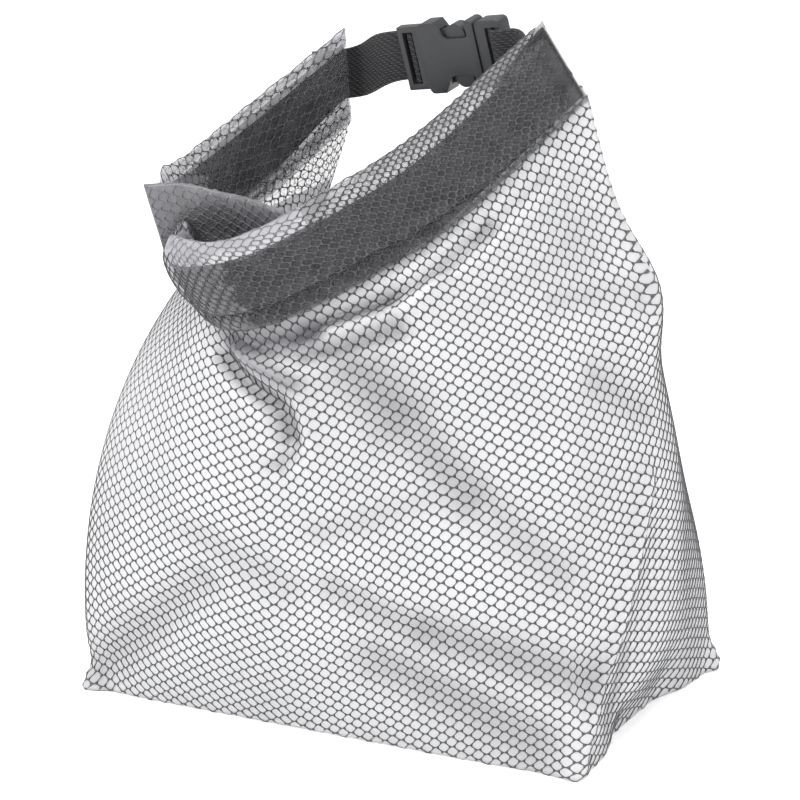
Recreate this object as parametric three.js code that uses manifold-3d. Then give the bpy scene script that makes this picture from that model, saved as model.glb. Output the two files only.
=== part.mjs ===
// A small roll-top waterproof bag of clear film, closed, standing on its boxed base.
// The mouth is rolled down on a webbing band, bent round into a loop and held by a side-release buckle.
// Millimetres, +Z up. The origin is the middle of the base and the front faces -Y.
// The roll's ends are at the buckle and its bend is at -X.
import * as THREE from 'three';
import { mergeVertices } from 'three/addons/utils/BufferGeometryUtils.js';
import Module from 'manifold-3d';

const wasm = await Module();
wasm.setup();

// Driving dimensions of the bag
const BASE_WIDTH = 160;
const BASE_DEPTH = 100;
const BASE_CORNER = 4;
const FLAT_WIDTH = BASE_WIDTH + BASE_DEPTH;
const GIRTH = 2 * FLAT_WIDTH;
const FILM = 1.0;
const GAP = 0.3;
const ROLL_SLACK = 0.5;
const SLIT = 0.7;
const NECK_HALF = FILM + SLIT / 2;
const NECK_END_ROUND = 6;
const WALL_HEIGHT = 150;

// Driving dimensions of the roll, its webbing and the strap
const ROLL_HEIGHT = 26;
const HEM_HEIGHT = 6;
const HEM_ROUND = 1.8;
const ROLL_TAPER = 5.5;
const FLAP_HEIGHT = 18;
const FOLD_ROUND = 1.2;
const BAND_THICK = 2.0;
const BAND_BOTTOM = 2;
const BAND_HEIGHT = 18;
const STRAP_WIDTH = 15;
const STRAP_THICK = 1.4;
const STRAP_LEAD = 5;
const TUCK_LENGTH = 2.4;

// Driving dimensions of the buckle: x along the strap, y across it, z through its thickness
const BUCKLE_CENTRE = new THREE.Vector3(11.5, 12, 189.5);
const BUCKLE_HEADING = -7;
const BUCKLE_RISE = 10;
const BUCKLE_UPRIGHT = new THREE.Vector3(-0.2, -0.12, 0.97);
const BUCKLE_WIDTH = 21;
const SOCKET_LENGTH = 19;
const SOCKET_THICK = 6.5;
const LADDER_LENGTH = 8.2;
const LADDER_WIDTH = 19;
const LADDER_THICK = 3.2;
const BAR_WIDTH = 1.6;
const PRONG_BASE_LENGTH = 8.4;
const PRONG_BASE_WIDTH = 20;
const PRONG_BASE_THICK = 5.6;
const PRONG_THICK = 3.2;
const PRONG_WIDTH = 3.4;
const PRONG_REACH = 15;
const TONGUE_WIDTH = 4;
const MOUTH_WIDTH = 16.4;
const NOTCH_START = 2.5;
const NOTCH_LENGTH = 11;
const NOTCH_DEPTH = 5;
const NOTCH_SLOPE = 3;
const TAB_RADIUS = 3.2;
const CHAMFER = 1;
const ROOTED = 1;
const STRAP_SLOT = 3.4;

// The roll's strip, from its front end round the bend to its rear end: lower and upper edge
const ROLL_STATIONS = [
  { place: 'front end', low: [62.5, -10, 187], high: [48, -8, 206] },
  { place: 'front middle', low: [14, -26, 138], high: [-2, -22, 161] },
  { place: 'front of bend', low: [-31, -41, 116], high: [-50, -37, 139] },
  { place: 'bend', low: [-50, -27, 120], high: [-72.5, -23, 149] },
  { place: 'rear of bend', low: [-57, 1, 133], high: [-69, -3, 155] },
  { place: 'rear middle', low: [-48, 18, 145], high: [-56, 10, 168] },
  { place: 'rear end', low: [-31, 28, 163], high: [-33, 28, 190] },
];

// Wall sections: round is the distance along the girth from the middle of the right side towards the front,
// belly and shoulder are the points that steer the wall between the base and the roll
const WALL_SECTIONS = [
  { round: 0, belly: [90, 0, 58], shoulder: [84, -12, 128] },
  { round: 50, belly: [84, -56, 55], shoulder: [64, -37, 118] },
  { round: 90, belly: [40, -64, 48], shoulder: [28, -50, 104] },
  { round: 130, belly: [0, -66, 45], shoulder: [-5, -60, 92] },
  { round: 170, belly: [-44, -64, 42], shoulder: [-60, -50, 86] },
  { round: 210, belly: [-82, -54, 45], shoulder: [-91, -27, 94] },
  { round: 235, belly: [-88, -22, 55], shoulder: [-90, 9, 104] },
  { round: 260, belly: [-89, 8, 60], shoulder: [-50, 40, 112] },
  { round: 285, belly: [-87, 34, 58], shoulder: [-34, 46, 102] },
  { round: 310, belly: [-80, 58, 55], shoulder: [-22, 42, 92] },
  { round: 350, belly: [-38, 62, 50], shoulder: [-2, 26, 84] },
  { round: 390, belly: [0, 62, 50], shoulder: [16, 20, 84] },
  { round: 430, belly: [40, 62, 50], shoulder: [42, 18, 96] },
  { round: 470, belly: [78, 53, 55], shoulder: [68, 14, 110] },
  { round: 495, belly: [83, 28, 58], shoulder: [88, 3, 126] },
];

// Folds and dents in the wall: a line from one place to another as [round, share of the wall's height],
// the half width of the fold and how far it stands out (or in, below zero)
const FOLDS = [
  { name: 'corner ridge', from: [50, 0.02], to: [10, 0.42], width: 6, out: 2.0 },
  { name: 'side hollow', from: [12, 0], to: [-14, 0], width: 11, out: -5.0 },
  { name: 'gusset hollow', from: [26, 0.1], to: [2, 0.3], width: 10, out: -2.5 },
  { name: 'right shoulder', from: [5, 0.7], to: [-5, 0.7], width: 14, out: 6.5 },
  { name: 'right neck hollow', from: [4, 0.88], to: [-4, 0.88], width: 13, out: -0.6 },
  { name: 'diagonal hollow', from: [100, 0.85], to: [52, 0.3], width: 13, out: -3.5 },
  { name: 'bend crease', from: [139, 0.96], to: [125, 0.66], width: 5, out: -4.0 },
  { name: 'bend lip', from: [130, 0.95], to: [117, 0.66], width: 6, out: 3.0 },
  { name: 'bulge under roll', from: [110, 0.92], to: [76, 0.84], width: 8, out: 4.5 },
  { name: 'lower left hollow', from: [202, 0.13], to: [145, 0.41], width: 13, out: -3.0 },
  { name: 'lower right hollow', from: [88, 0.23], to: [52, 0.33], width: 10, out: -2.0 },
  { name: 'front left weld tip', from: [210, 0], to: [210, 0.01], width: 5, out: 4.0 },
  { name: 'rear left weld tip', from: [310, 0], to: [310, 0.01], width: 5, out: 4.0 },
  { name: 'rear right weld tip', from: [470, 0], to: [470, 0.01], width: 5, out: 4.0 },
];

// Numbers of faces
const COLUMNS_PER_STRETCH = [8, 22, 8, 8, 18, 8];
const WALL_ROWS = 20;
const NECK_ROWS = 3;
const ROLL_STEPS = 38;
const ARC_STEPS = 6;

const clamp01 = (value) => THREE.MathUtils.clamp(value, 0, 1);
const toVector = (numbers) => new THREE.Vector3(...numbers);

// Smooth curve through points at given knots, closed on itself when it has a period
function throughPoints(knots, points, at, period = 0) {
  const count = points.length;
  const wrap = (index) => ((index % count) + count) % count;
  const knot = (index) => knots[wrap(index)] + period * Math.floor(index / count);
  const point = (index) => points[wrap(index)];
  const last = period ? count - 1 : count - 2;
  let start = 0;
  while (start < last && at >= knot(start + 1)) start += 1;
  const slope = (index) => {
    const first = period ? index - 1 : Math.max(index - 1, 0);
    const final = period ? index + 1 : Math.min(index + 1, count - 1);
    const before = knot(index) - knot(first);
    const after = knot(final) - knot(index);
    const rise = new THREE.Vector3();
    if (before > 0) {
      const share = after > 0 ? after / (before + after) : 1;
      rise.addScaledVector(point(index).clone().sub(point(first)), share / before);
    }
    if (after > 0) {
      const share = before > 0 ? before / (before + after) : 1;
      rise.addScaledVector(point(final).clone().sub(point(index)), share / after);
    }
    return rise;
  };
  const span = knot(start + 1) - knot(start);
  const x = (at - knot(start)) / span;
  return new THREE.Vector3()
    .addScaledVector(point(start), 2 * x ** 3 - 3 * x ** 2 + 1)
    .addScaledVector(slope(start), (x ** 3 - 2 * x ** 2 + x) * span)
    .addScaledVector(point(start + 1), 3 * x ** 2 - 2 * x ** 3)
    .addScaledVector(slope(start + 1), (x ** 3 - x ** 2) * span);
}

const lowPoints = ROLL_STATIONS.map((station) => toVector(station.low));
const highPoints = ROLL_STATIONS.map((station) => toVector(station.high));
const rollKnots = lowPoints.map(() => 0);
for (let index = 1; index < lowPoints.length; index += 1) {
  rollKnots[index] = rollKnots[index - 1] + lowPoints[index].distanceTo(lowPoints[index - 1]);
}
const ROLL_LENGTH = rollKnots.at(-1);

// The strip that the roll is built on, at a share of its length from the front end
function stripFrame(share) {
  const edges = (at) => {
    const distance = clamp01(at) * ROLL_LENGTH;
    return [throughPoints(rollKnots, lowPoints, distance), throughPoints(rollKnots, highPoints, distance)];
  };
  const STEP = 0.002;
  const [low, high] = edges(share);
  const [lowBefore, highBefore] = edges(share - STEP);
  const [lowAfter, highAfter] = edges(share + STEP);
  const along = lowAfter.sub(lowBefore).add(highAfter.sub(highBefore)).normalize();
  const rise = high.clone().sub(low);
  const outward = rise.clone().cross(along).normalize();
  return { low, rise, along, outward };
}

// A point of the strip's section: how far out of the strip, and a share of the roll's height
function onStrip(frame, across, share) {
  return frame.low.clone().addScaledVector(frame.rise, share).addScaledVector(frame.outward, across);
}

// Rounded rectangle of the base, by distance along the girth
function basePoint(round) {
  const sides = [BASE_DEPTH / 2, BASE_WIDTH, BASE_DEPTH, BASE_WIDTH, BASE_DEPTH / 2];
  const headings = [-90, 180, 90, 0, -90];
  const corner = new THREE.Vector2(BASE_WIDTH / 2, 0);
  let left = ((round % GIRTH) + GIRTH) % GIRTH;
  let side = 0;
  while (side < sides.length - 1 && left > sides[side]) {
    const heading = THREE.MathUtils.degToRad(headings[side]);
    corner.x += sides[side] * Math.cos(heading);
    corner.y += sides[side] * Math.sin(heading);
    left -= sides[side];
    side += 1;
  }
  const heading = THREE.MathUtils.degToRad(headings[side]);
  const x = corner.x + left * Math.cos(heading);
  const y = corner.y + left * Math.sin(heading);
  const insideX = Math.min(Math.abs(x), BASE_WIDTH / 2 - BASE_CORNER) * Math.sign(x);
  const insideY = Math.min(Math.abs(y), BASE_DEPTH / 2 - BASE_CORNER) * Math.sign(y);
  const spoke = new THREE.Vector2(x - insideX, y - insideY);
  const onCorner = Math.abs(spoke.x) > 0 && Math.abs(spoke.y) > 0;
  if (onCorner) spoke.setLength(BASE_CORNER);
  return new THREE.Vector3(insideX + spoke.x, insideY + spoke.y, 0);
}

// The flattened neck: the two walls of the tube on either side of the strip
function neckPoint(round, share) {
  const frontWall = round <= FLAT_WIDTH;
  const along = frontWall ? round / FLAT_WIDTH : (GIRTH - round) / FLAT_WIDTH;
  const fromEnd = Math.min(along, 1 - along) * FLAT_WIDTH;
  const ending = clamp01(1 - fromEnd / NECK_END_ROUND);
  const half = NECK_HALF * Math.sqrt(1 - ending ** 2);
  return onStrip(stripFrame(along), frontWall ? half : -half, share);
}

const wallKnots = WALL_SECTIONS.map((section) => section.round);
const bellyPoints = WALL_SECTIONS.map((section) => toVector(section.belly));
const shoulderPoints = WALL_SECTIONS.map((section) => toVector(section.shoulder));

// The wall before its folds: a cubic from the base through the belly and the shoulder to the neck
function smoothWall(round, height) {
  const girthPlace = ((round % GIRTH) + GIRTH) % GIRTH;
  const curve = new THREE.CubicBezierCurve3(
    basePoint(girthPlace),
    throughPoints(wallKnots, bellyPoints, girthPlace, GIRTH),
    throughPoints(wallKnots, shoulderPoints, girthPlace, GIRTH),
    neckPoint(girthPlace, 0),
  );
  return curve.getPoint(clamp01(height));
}

// Outward normal of a surface given by (round, height)
function surfaceNormal(surface, round, height, top) {
  const ROUND_STEP = 1.5;
  const HEIGHT_STEP = 0.01;
  const across = surface(round + ROUND_STEP, height).sub(surface(round - ROUND_STEP, height));
  const above = surface(round, Math.min(height + HEIGHT_STEP, top));
  const up = above.sub(surface(round, Math.max(height - HEIGHT_STEP, 0)));
  return up.cross(across).normalize();
}

// How far the folds push the wall out at a place
function foldOut(round, height) {
  const total = FOLDS.reduce((sum, fold) => {
    const from = new THREE.Vector2(fold.from[0], fold.from[1] * WALL_HEIGHT);
    const line = new THREE.Vector2(fold.to[0], fold.to[1] * WALL_HEIGHT).sub(from);
    const nearestRound = round - GIRTH * Math.round((round - from.x) / GIRTH);
    const place = new THREE.Vector2(nearestRound, height * WALL_HEIGHT);
    const along = clamp01(place.clone().sub(from).dot(line) / line.lengthSq());
    const distance = place.distanceTo(from.addScaledVector(line, along));
    return sum + fold.out * Math.exp(-((distance / fold.width) ** 2));
  }, 0);
  const NECK_CALM = 0.04;
  return total * clamp01((1 - height) / NECK_CALM);
}

// The outer face of the film: the wall up to height 1, then the neck inside the roll up to height 2
const NECK_TOP = (ROLL_HEIGHT - 2 * FILM - GAP) / ROLL_HEIGHT;
function filmSurface(round, height) {
  const girthPlace = ((round % GIRTH) + GIRTH) % GIRTH;
  if (height > 1) return neckPoint(girthPlace, (height - 1) * NECK_TOP);
  const point = smoothWall(girthPlace, height);
  const out = surfaceNormal(smoothWall, girthPlace, height, 1);
  if (height === 0) out.setZ(0).normalize();
  return point.addScaledVector(out, foldOut(girthPlace, height));
}

// Turns a closed mesh so that its faces point out, and gives it flat normals
function closedGeometry(points, triangles) {
  const volume = triangles.reduce((sum, [a, b, c]) => {
    return sum + points[a].dot(points[b].clone().cross(points[c]));
  }, 0);
  const facing = volume < 0 ? triangles.map(([a, b, c]) => [a, c, b]) : triangles;
  const geometry = new THREE.BufferGeometry();
  const coordinates = points.flatMap((point) => point.toArray());
  geometry.setAttribute('position', new THREE.Float32BufferAttribute(coordinates, 3));
  geometry.setIndex(facing.flat());
  geometry.computeVertexNormals();
  return geometry;
}

// Faces between two closed rings of the same number of points
function ringFaces(firstStart, secondStart, count) {
  const faces = [];
  for (let index = 0; index < count; index += 1) {
    const next = (index + 1) % count;
    faces.push([firstStart + index, firstStart + next, secondStart + next]);
    faces.push([firstStart + index, secondStart + next, secondStart + index]);
  }
  return faces;
}

// Places round the girth, with a column on each base corner and each edge of the flat tube
function girthColumns() {
  const half = BASE_DEPTH / 2;
  const ends = [0, half, half + BASE_WIDTH, FLAT_WIDTH, FLAT_WIDTH + half, GIRTH - half, GIRTH];
  return COLUMNS_PER_STRETCH.flatMap((count, stretch) => {
    const from = ends[stretch];
    const length = ends[stretch + 1] - from;
    return Array.from({ length: count }, (unused, step) => from + (length * step) / count);
  });
}

// The hollow body: outer film, inner film, a flat floor and the open slit of the neck
function filmBodyGeometry() {
  const columns = girthColumns();
  const count = columns.length;
  const heights = [];
  for (let row = 0; row <= WALL_ROWS; row += 1) heights.push(row / WALL_ROWS);
  for (let row = 1; row <= NECK_ROWS; row += 1) heights.push(1 + row / NECK_ROWS);
  const points = [];
  const faces = [];
  const outerRings = heights.map((height) => {
    const start = points.length;
    columns.forEach((round) => points.push(filmSurface(round, height)));
    return start;
  });
  const innerRings = heights.map((height, row) => {
    const start = points.length;
    columns.forEach((round, column) => {
      const inward = surfaceNormal(filmSurface, round, height, 2);
      if (row === 0) inward.setZ(0).normalize();
      const point = points[outerRings[row] + column].clone().addScaledVector(inward, -FILM);
      if (row === 0) point.z = FILM;
      points.push(point);
    });
    return start;
  });
  for (let row = 1; row < heights.length; row += 1) {
    faces.push(...ringFaces(outerRings[row - 1], outerRings[row], count));
    faces.push(...ringFaces(innerRings[row], innerRings[row - 1], count));
  }
  faces.push(...ringFaces(outerRings.at(-1), innerRings.at(-1), count));
  [[outerRings[0], 0, false], [innerRings[0], FILM, true]].forEach(([start, level, upward]) => {
    const middle = points.push(new THREE.Vector3(0, 0, level)) - 1;
    for (let index = 0; index < count; index += 1) {
      const pair = [start + index, start + ((index + 1) % count)];
      faces.push(upward ? [middle, ...pair] : [middle, pair[1], pair[0]]);
    }
  });
  return closedGeometry(points, faces);
}

// A closed band: the same section at each frame of a row of frames
function sweptBand(frames, section, placePoint) {
  const points = [];
  frames.forEach((frame) => section.forEach((corner) => points.push(placePoint(frame, corner))));
  const count = section.length;
  const faces = [];
  for (let step = 1; step < frames.length; step += 1) {
    faces.push(...ringFaces((step - 1) * count, step * count, count));
  }
  const caps = THREE.ShapeUtils.triangulateShape(section.map(([x, y]) => new THREE.Vector2(x, y)), []);
  const farStart = (frames.length - 1) * count;
  const turned = THREE.ShapeUtils.area(section.map(([x, y]) => new THREE.Vector2(x, y))) > 0;
  caps.forEach(([a, b, c]) => {
    const near = turned ? [a, c, b] : [a, b, c];
    faces.push(near);
    faces.push([farStart + near[0], farStart + near[2], farStart + near[1]]);
  });
  return closedGeometry(points, faces);
}

// A layer of even thickness along an open line of corners
function thickLine(line, thickness) {
  const corners = line.map(([x, y]) => new THREE.Vector2(x, y));
  const side = (sign) => corners.map((corner, index) => {
    const before = corner.clone().sub(corners[Math.max(index - 1, 0)]);
    const after = corners[Math.min(index + 1, corners.length - 1)].clone().sub(corner);
    if (index === 0) before.copy(after);
    if (index === corners.length - 1) after.copy(before);
    before.normalize();
    after.normalize();
    const middle = before.clone().add(after).normalize();
    const reach = (sign * thickness) / 2 / middle.dot(before);
    return [corner.x - middle.y * reach, corner.y + middle.x * reach];
  });
  return [...side(1), ...side(-1).reverse()];
}

// Layers of the roll, from the neck outwards
const HEM_AT = -(NECK_HALF + ROLL_SLACK + FILM / 2);
const FLAP_AT = NECK_HALF + ROLL_SLACK + FILM / 2;
const BAND_INSIDE = FLAP_AT + FILM / 2 + GAP;
const BAND_OUTSIDE = BAND_INSIDE + BAND_THICK;
const OUTER_AT = BAND_OUTSIDE + GAP + FILM / 2;

const rollFrames = Array.from({ length: ROLL_STEPS + 1 }, (unused, step) => stripFrame(step / ROLL_STEPS));
const placeOnRoll = (frame, [across, level]) => onStrip(frame, across, level / ROLL_HEIGHT);

// The rolled mouth: a hem over the neck's top, the outer layer, the bottom fold and the inner flap
function rolledTopGeometry() {
  const layer = [
    [HEM_AT, ROLL_HEIGHT - HEM_HEIGHT],
    [HEM_AT, ROLL_HEIGHT - HEM_ROUND],
    [0, ROLL_HEIGHT],
    [FLAP_AT + FILM, ROLL_HEIGHT - HEM_ROUND],
    [OUTER_AT, ROLL_HEIGHT - ROLL_TAPER],
    [OUTER_AT, FOLD_ROUND + FILM / 2],
    [OUTER_AT - FOLD_ROUND, FILM / 2],
    [FLAP_AT + FOLD_ROUND, FILM / 2],
    [FLAP_AT, FOLD_ROUND + FILM / 2],
    [FLAP_AT, FLAP_HEIGHT],
  ];
  return sweptBand(rollFrames, thickLine(layer, FILM), placeOnRoll);
}

// The flat webbing band inside the roll
function rollWebbingGeometry() {
  const section = [
    [BAND_INSIDE, BAND_BOTTOM],
    [BAND_OUTSIDE, BAND_BOTTOM],
    [BAND_OUTSIDE, BAND_BOTTOM + BAND_HEIGHT],
    [BAND_INSIDE, BAND_BOTTOM + BAND_HEIGHT],
  ];
  return sweptBand(rollFrames, section, placeOnRoll);
}

// The buckle's own axes: along the strap, across it and out of its face
const heading = THREE.MathUtils.degToRad(BUCKLE_HEADING);
const rise = THREE.MathUtils.degToRad(BUCKLE_RISE);
const buckleAlong = new THREE.Vector3(
  Math.cos(heading) * Math.cos(rise),
  Math.sin(heading) * Math.cos(rise),
  Math.sin(rise),
);
const buckleOut = buckleAlong.clone().cross(BUCKLE_UPRIGHT).normalize();
const buckleAcross = buckleOut.clone().cross(buckleAlong).normalize();
const onBuckle = (x, y, z) => BUCKLE_CENTRE.clone()
  .addScaledVector(buckleAlong, x)
  .addScaledVector(buckleAcross, y)
  .addScaledVector(buckleOut, z);

// Stations of the buckle along its strap
const JOINT_AT = SOCKET_LENGTH / 2;
const SOCKET_START = -SOCKET_LENGTH / 2;
const LADDER_START = SOCKET_START - LADDER_LENGTH;
const PRONG_BASE_START = JOINT_AT + GAP;
const PRONG_BASE_END = PRONG_BASE_START + PRONG_BASE_LENGTH;
const LADDER_SLOT_AT = LADDER_START + BAR_WIDTH + STRAP_SLOT / 2;
const PRONG_SLOT_AT = PRONG_BASE_END - BAR_WIDTH - STRAP_SLOT / 2;

// A strap: a flat section carried along a line of places that each say which way its width lies
function strapGeometry(places) {
  const curve = new THREE.CatmullRomCurve3(places.map((place) => place.at));
  const steps = (places.length - 1) * ARC_STEPS;
  const frames = Array.from({ length: steps + 1 }, (unused, step) => {
    const share = (step / steps) * (places.length - 1);
    const index = Math.min(Math.floor(share), places.length - 2);
    const width = places[index].width.clone().lerp(places[index + 1].width, share - index);
    const tangent = curve.getTangent(step / steps);
    width.addScaledVector(tangent, -width.dot(tangent)).normalize();
    return { at: curve.getPoint(step / steps), width, thick: tangent.clone().cross(width) };
  });
  const section = [[-1, -1], [1, -1], [1, 1], [-1, 1]];
  return sweptBand(frames, section, (frame, [across, through]) => frame.at.clone()
    .addScaledVector(frame.width, (across * STRAP_WIDTH) / 2)
    .addScaledVector(frame.thick, (through * STRAP_THICK) / 2));
}

// The end of a strap that passes over a bar and turns down into the slot behind it:
// barEdge is the bar's side of the slot, inward the way to the buckle's middle, face the side it passes on
function tuckedEnd(barEdge, inward, face, thickness) {
  const clear = thickness / 2 + GAP + STRAP_THICK / 2;
  const middle = STRAP_SLOT / 2;
  const route = [
    { into: -BAR_WIDTH - STRAP_LEAD, off: clear },
    { into: GAP, off: clear + GAP / 2 },
    { into: middle, off: clear - STRAP_THICK },
    { into: middle + GAP, off: clear - STRAP_THICK - TUCK_LENGTH },
  ];
  return route.map(({ into, off }) => ({
    at: onBuckle(barEdge + inward * into, 0, face * off),
    width: buckleAcross,
  }));
}

// The strap from the rear end of the webbing to the ladder of the socket, behind its bar and into its slot
function strapRearGeometry() {
  const frame = stripFrame(1);
  const level = BAND_BOTTOM + BAND_HEIGHT / 2;
  const start = placeOnRoll(frame, [(BAND_INSIDE + BAND_OUTSIDE) / 2, level]);
  const upward = frame.rise.clone().normalize();
  const straightOut = frame.along.clone().projectOnPlane(upward).normalize();
  return strapGeometry([
    { at: start.clone().addScaledVector(straightOut, GAP), width: upward },
    { at: start.clone().addScaledVector(straightOut, STRAP_LEAD), width: upward },
    ...tuckedEnd(LADDER_START + BAR_WIDTH, 1, -1, LADDER_THICK),
  ]);
}

// The strap that is sewn behind the hem at the roll's front end and runs to the bar of the prong half
function strapFrontGeometry() {
  const END_MARGIN = 3;
  const level = ROLL_HEIGHT - STRAP_WIDTH / 2;
  const behind = HEM_AT - FILM / 2 - GAP - STRAP_THICK / 2;
  const first = stripFrame(END_MARGIN / ROLL_LENGTH);
  const second = stripFrame((END_MARGIN + STRAP_LEAD) / ROLL_LENGTH);
  return strapGeometry([
    { at: placeOnRoll(first, [behind, level]), width: first.rise.clone().normalize() },
    { at: placeOnRoll(second, [behind - STRAP_THICK, level]), width: second.rise.clone().normalize() },
    ...tuckedEnd(PRONG_BASE_END - BAR_WIDTH, -1, -1, PRONG_BASE_THICK),
  ]);
}

// Booleans between closed meshes
function toSolid(geometry) {
  const bare = geometry.clone();
  bare.deleteAttribute('normal');
  bare.deleteAttribute('uv');
  const merged = mergeVertices(bare);
  const vertProperties = new Float32Array(merged.attributes.position.array);
  const triVerts = new Uint32Array(merged.index.array);
  return new wasm.Manifold(new wasm.Mesh({ numProp: 3, vertProperties, triVerts }));
}

function toGeometry(solid) {
  const mesh = solid.getMesh();
  const geometry = new THREE.BufferGeometry();
  geometry.setAttribute('position', new THREE.BufferAttribute(new Float32Array(mesh.vertProperties), 3));
  geometry.setIndex(new THREE.BufferAttribute(new Uint32Array(mesh.triVerts), 1));
  geometry.computeVertexNormals();
  return geometry;
}

// A plate from an outline, centred on its thickness
function plate(shape, thickness) {
  const geometry = new THREE.ExtrudeGeometry(shape, {
    depth: thickness,
    bevelEnabled: false,
    curveSegments: ARC_STEPS,
  });
  return geometry.translate(0, 0, -thickness / 2);
}

function block(fromX, toX, width, thickness) {
  const geometry = new THREE.BoxGeometry(toX - fromX, width, thickness);
  return geometry.translate((fromX + toX) / 2, 0, 0);
}

// One side of the socket's outline, from its strap end to its mouth, with the notch for the prong's tab
function socketSide(sign) {
  const edge = (sign * BUCKLE_WIDTH) / 2;
  const deep = edge - sign * NOTCH_DEPTH;
  const notchEnd = JOINT_AT - NOTCH_START;
  const notchStart = notchEnd - NOTCH_LENGTH;
  return [
    [SOCKET_START, edge - sign * CHAMFER],
    [SOCKET_START + CHAMFER, edge],
    [notchStart, edge],
    [notchStart + NOTCH_SLOPE, deep],
    [notchEnd - CHAMFER, deep],
    [notchEnd, deep + sign * CHAMFER],
    [notchEnd, edge],
    [JOINT_AT, edge],
  ].map(([x, y]) => new THREE.Vector2(x, y));
}

// A slot for the strap, cut through the thickness
function strapSlot(middle, thickness) {
  return block(middle - STRAP_SLOT / 2, middle + STRAP_SLOT / 2, STRAP_WIDTH + 2 * GAP, 2 * thickness);
}

// The socket half: a hollow body with a notch on each side, and a ladder frame for the strap
function buckleSocketGeometry() {
  const outline = new THREE.Shape([...socketSide(-1), ...socketSide(1).reverse()]);
  const mouthStart = JOINT_AT - PRONG_REACH - ROOTED;
  const mouth = block(mouthStart, JOINT_AT + ROOTED, MOUTH_WIDTH, PRONG_THICK + 2 * GAP);
  const ladder = block(LADDER_START, SOCKET_START + ROOTED, LADDER_WIDTH, LADDER_THICK);
  return toGeometry(toSolid(plate(outline, SOCKET_THICK))
    .subtract(toSolid(mouth))
    .add(toSolid(ladder))
    .subtract(toSolid(strapSlot(LADDER_SLOT_AT, LADDER_THICK))));
}

// The prong half: a base with a strap slot, a middle tongue and two side prongs,
// each with a rounded tab in its notch of the socket
function buckleProngsGeometry() {
  const tip = JOINT_AT - PRONG_REACH;
  const outer = MOUTH_WIDTH / 2 - GAP;
  const tabAt = JOINT_AT - NOTCH_START - (NOTCH_LENGTH - NOTCH_SLOPE + CHAMFER) / 2;
  const base = block(PRONG_BASE_START, PRONG_BASE_END, PRONG_BASE_WIDTH, PRONG_BASE_THICK);
  const tongue = block(tip, PRONG_BASE_START + ROOTED, TONGUE_WIDTH, PRONG_THICK);
  let solid = toSolid(base)
    .subtract(toSolid(strapSlot(PRONG_SLOT_AT, PRONG_BASE_THICK)))
    .add(toSolid(tongue));
  [-1, 1].forEach((sign) => {
    const prong = block(tip, PRONG_BASE_START + ROOTED, PRONG_WIDTH, PRONG_THICK);
    prong.translate(0, sign * (outer - PRONG_WIDTH / 2), 0);
    const tab = new THREE.CylinderGeometry(TAB_RADIUS, TAB_RADIUS, PRONG_THICK, 2 * ARC_STEPS);
    tab.rotateX(Math.PI / 2).translate(tabAt, sign * (outer - TAB_RADIUS / 2), 0);
    solid = solid.add(toSolid(prong)).add(toSolid(tab));
  });
  return toGeometry(solid);
}

// Assembly
const film = { color: 0xd9dadb, roughness: 0.3, metalness: 0, transparent: true, opacity: 0.5 };
const webbing = { color: 0x3a3b3d, roughness: 0.9, metalness: 0 };
const plastic = { color: 0x2f3032, roughness: 0.5, metalness: 0 };

function piece(name, geometry, look) {
  const mesh = new THREE.Mesh(geometry, new THREE.MeshStandardMaterial(look));
  mesh.name = name;
  return mesh;
}

const bag = new THREE.Group();
bag.add(piece('film_body', filmBodyGeometry(), film));
bag.add(piece('rolled_top', rolledTopGeometry(), film));
bag.add(piece('roll_webbing', rollWebbingGeometry(), webbing));
bag.add(piece('strap_rear', strapRearGeometry(), webbing));
bag.add(piece('strap_front', strapFrontGeometry(), webbing));

const buckle = new THREE.Group();
buckle.position.copy(BUCKLE_CENTRE);
buckle.setRotationFromMatrix(new THREE.Matrix4().makeBasis(buckleAlong, buckleAcross, buckleOut));
buckle.add(piece('buckle_socket', buckleSocketGeometry(), plastic));
buckle.add(piece('buckle_prongs', buckleProngsGeometry(), plastic));
bag.add(buckle);

export default bag;
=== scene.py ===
# %% [markdown]
# # A roll-top waterproof bag
#
# This bag is a tube of soft clear film with a fine net sealed inside it. The tube stands on a boxed
# base. Its mouth is rolled down over a band of webbing, bent round into a loop and held by a buckle. The
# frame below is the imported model. Everything made here sits on it, in metres, in the same axes.

# %% Load the frame
import math

import bpy
import numpy as np
from mathutils import Matrix, Vector


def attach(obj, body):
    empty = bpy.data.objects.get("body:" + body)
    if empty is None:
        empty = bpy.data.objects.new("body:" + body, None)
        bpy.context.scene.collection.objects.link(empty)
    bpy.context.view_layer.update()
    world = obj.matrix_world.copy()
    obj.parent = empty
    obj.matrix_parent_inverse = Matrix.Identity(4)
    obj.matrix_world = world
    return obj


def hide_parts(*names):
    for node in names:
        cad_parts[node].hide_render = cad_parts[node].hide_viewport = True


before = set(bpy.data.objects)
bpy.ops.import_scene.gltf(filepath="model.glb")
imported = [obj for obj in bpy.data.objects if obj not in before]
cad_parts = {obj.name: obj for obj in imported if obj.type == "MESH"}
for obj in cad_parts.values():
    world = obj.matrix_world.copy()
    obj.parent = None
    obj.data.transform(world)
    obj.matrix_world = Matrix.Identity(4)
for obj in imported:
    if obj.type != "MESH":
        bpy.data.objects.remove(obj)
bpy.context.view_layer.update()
MM = 0.001
print("nodes in the frame:", sorted(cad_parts))

# %% [markdown]
# ## Camera
#
# The photograph was taken with a long lens, from the front right and a little above. Azimuth and
# elevation give the way the camera looks, and the focal length is for a 36 mm wide sensor.

# %% Camera
AZIMUTH = math.radians(26.58)
ELEVATION = math.radians(17.13)
CAMERA_DISTANCE = 1.1
CAMERA_TARGET = Vector((-0.0007, 0.0, 0.087))
FOCAL_LENGTH = 168.15
SENSOR_WIDTH = 36.0

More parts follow.
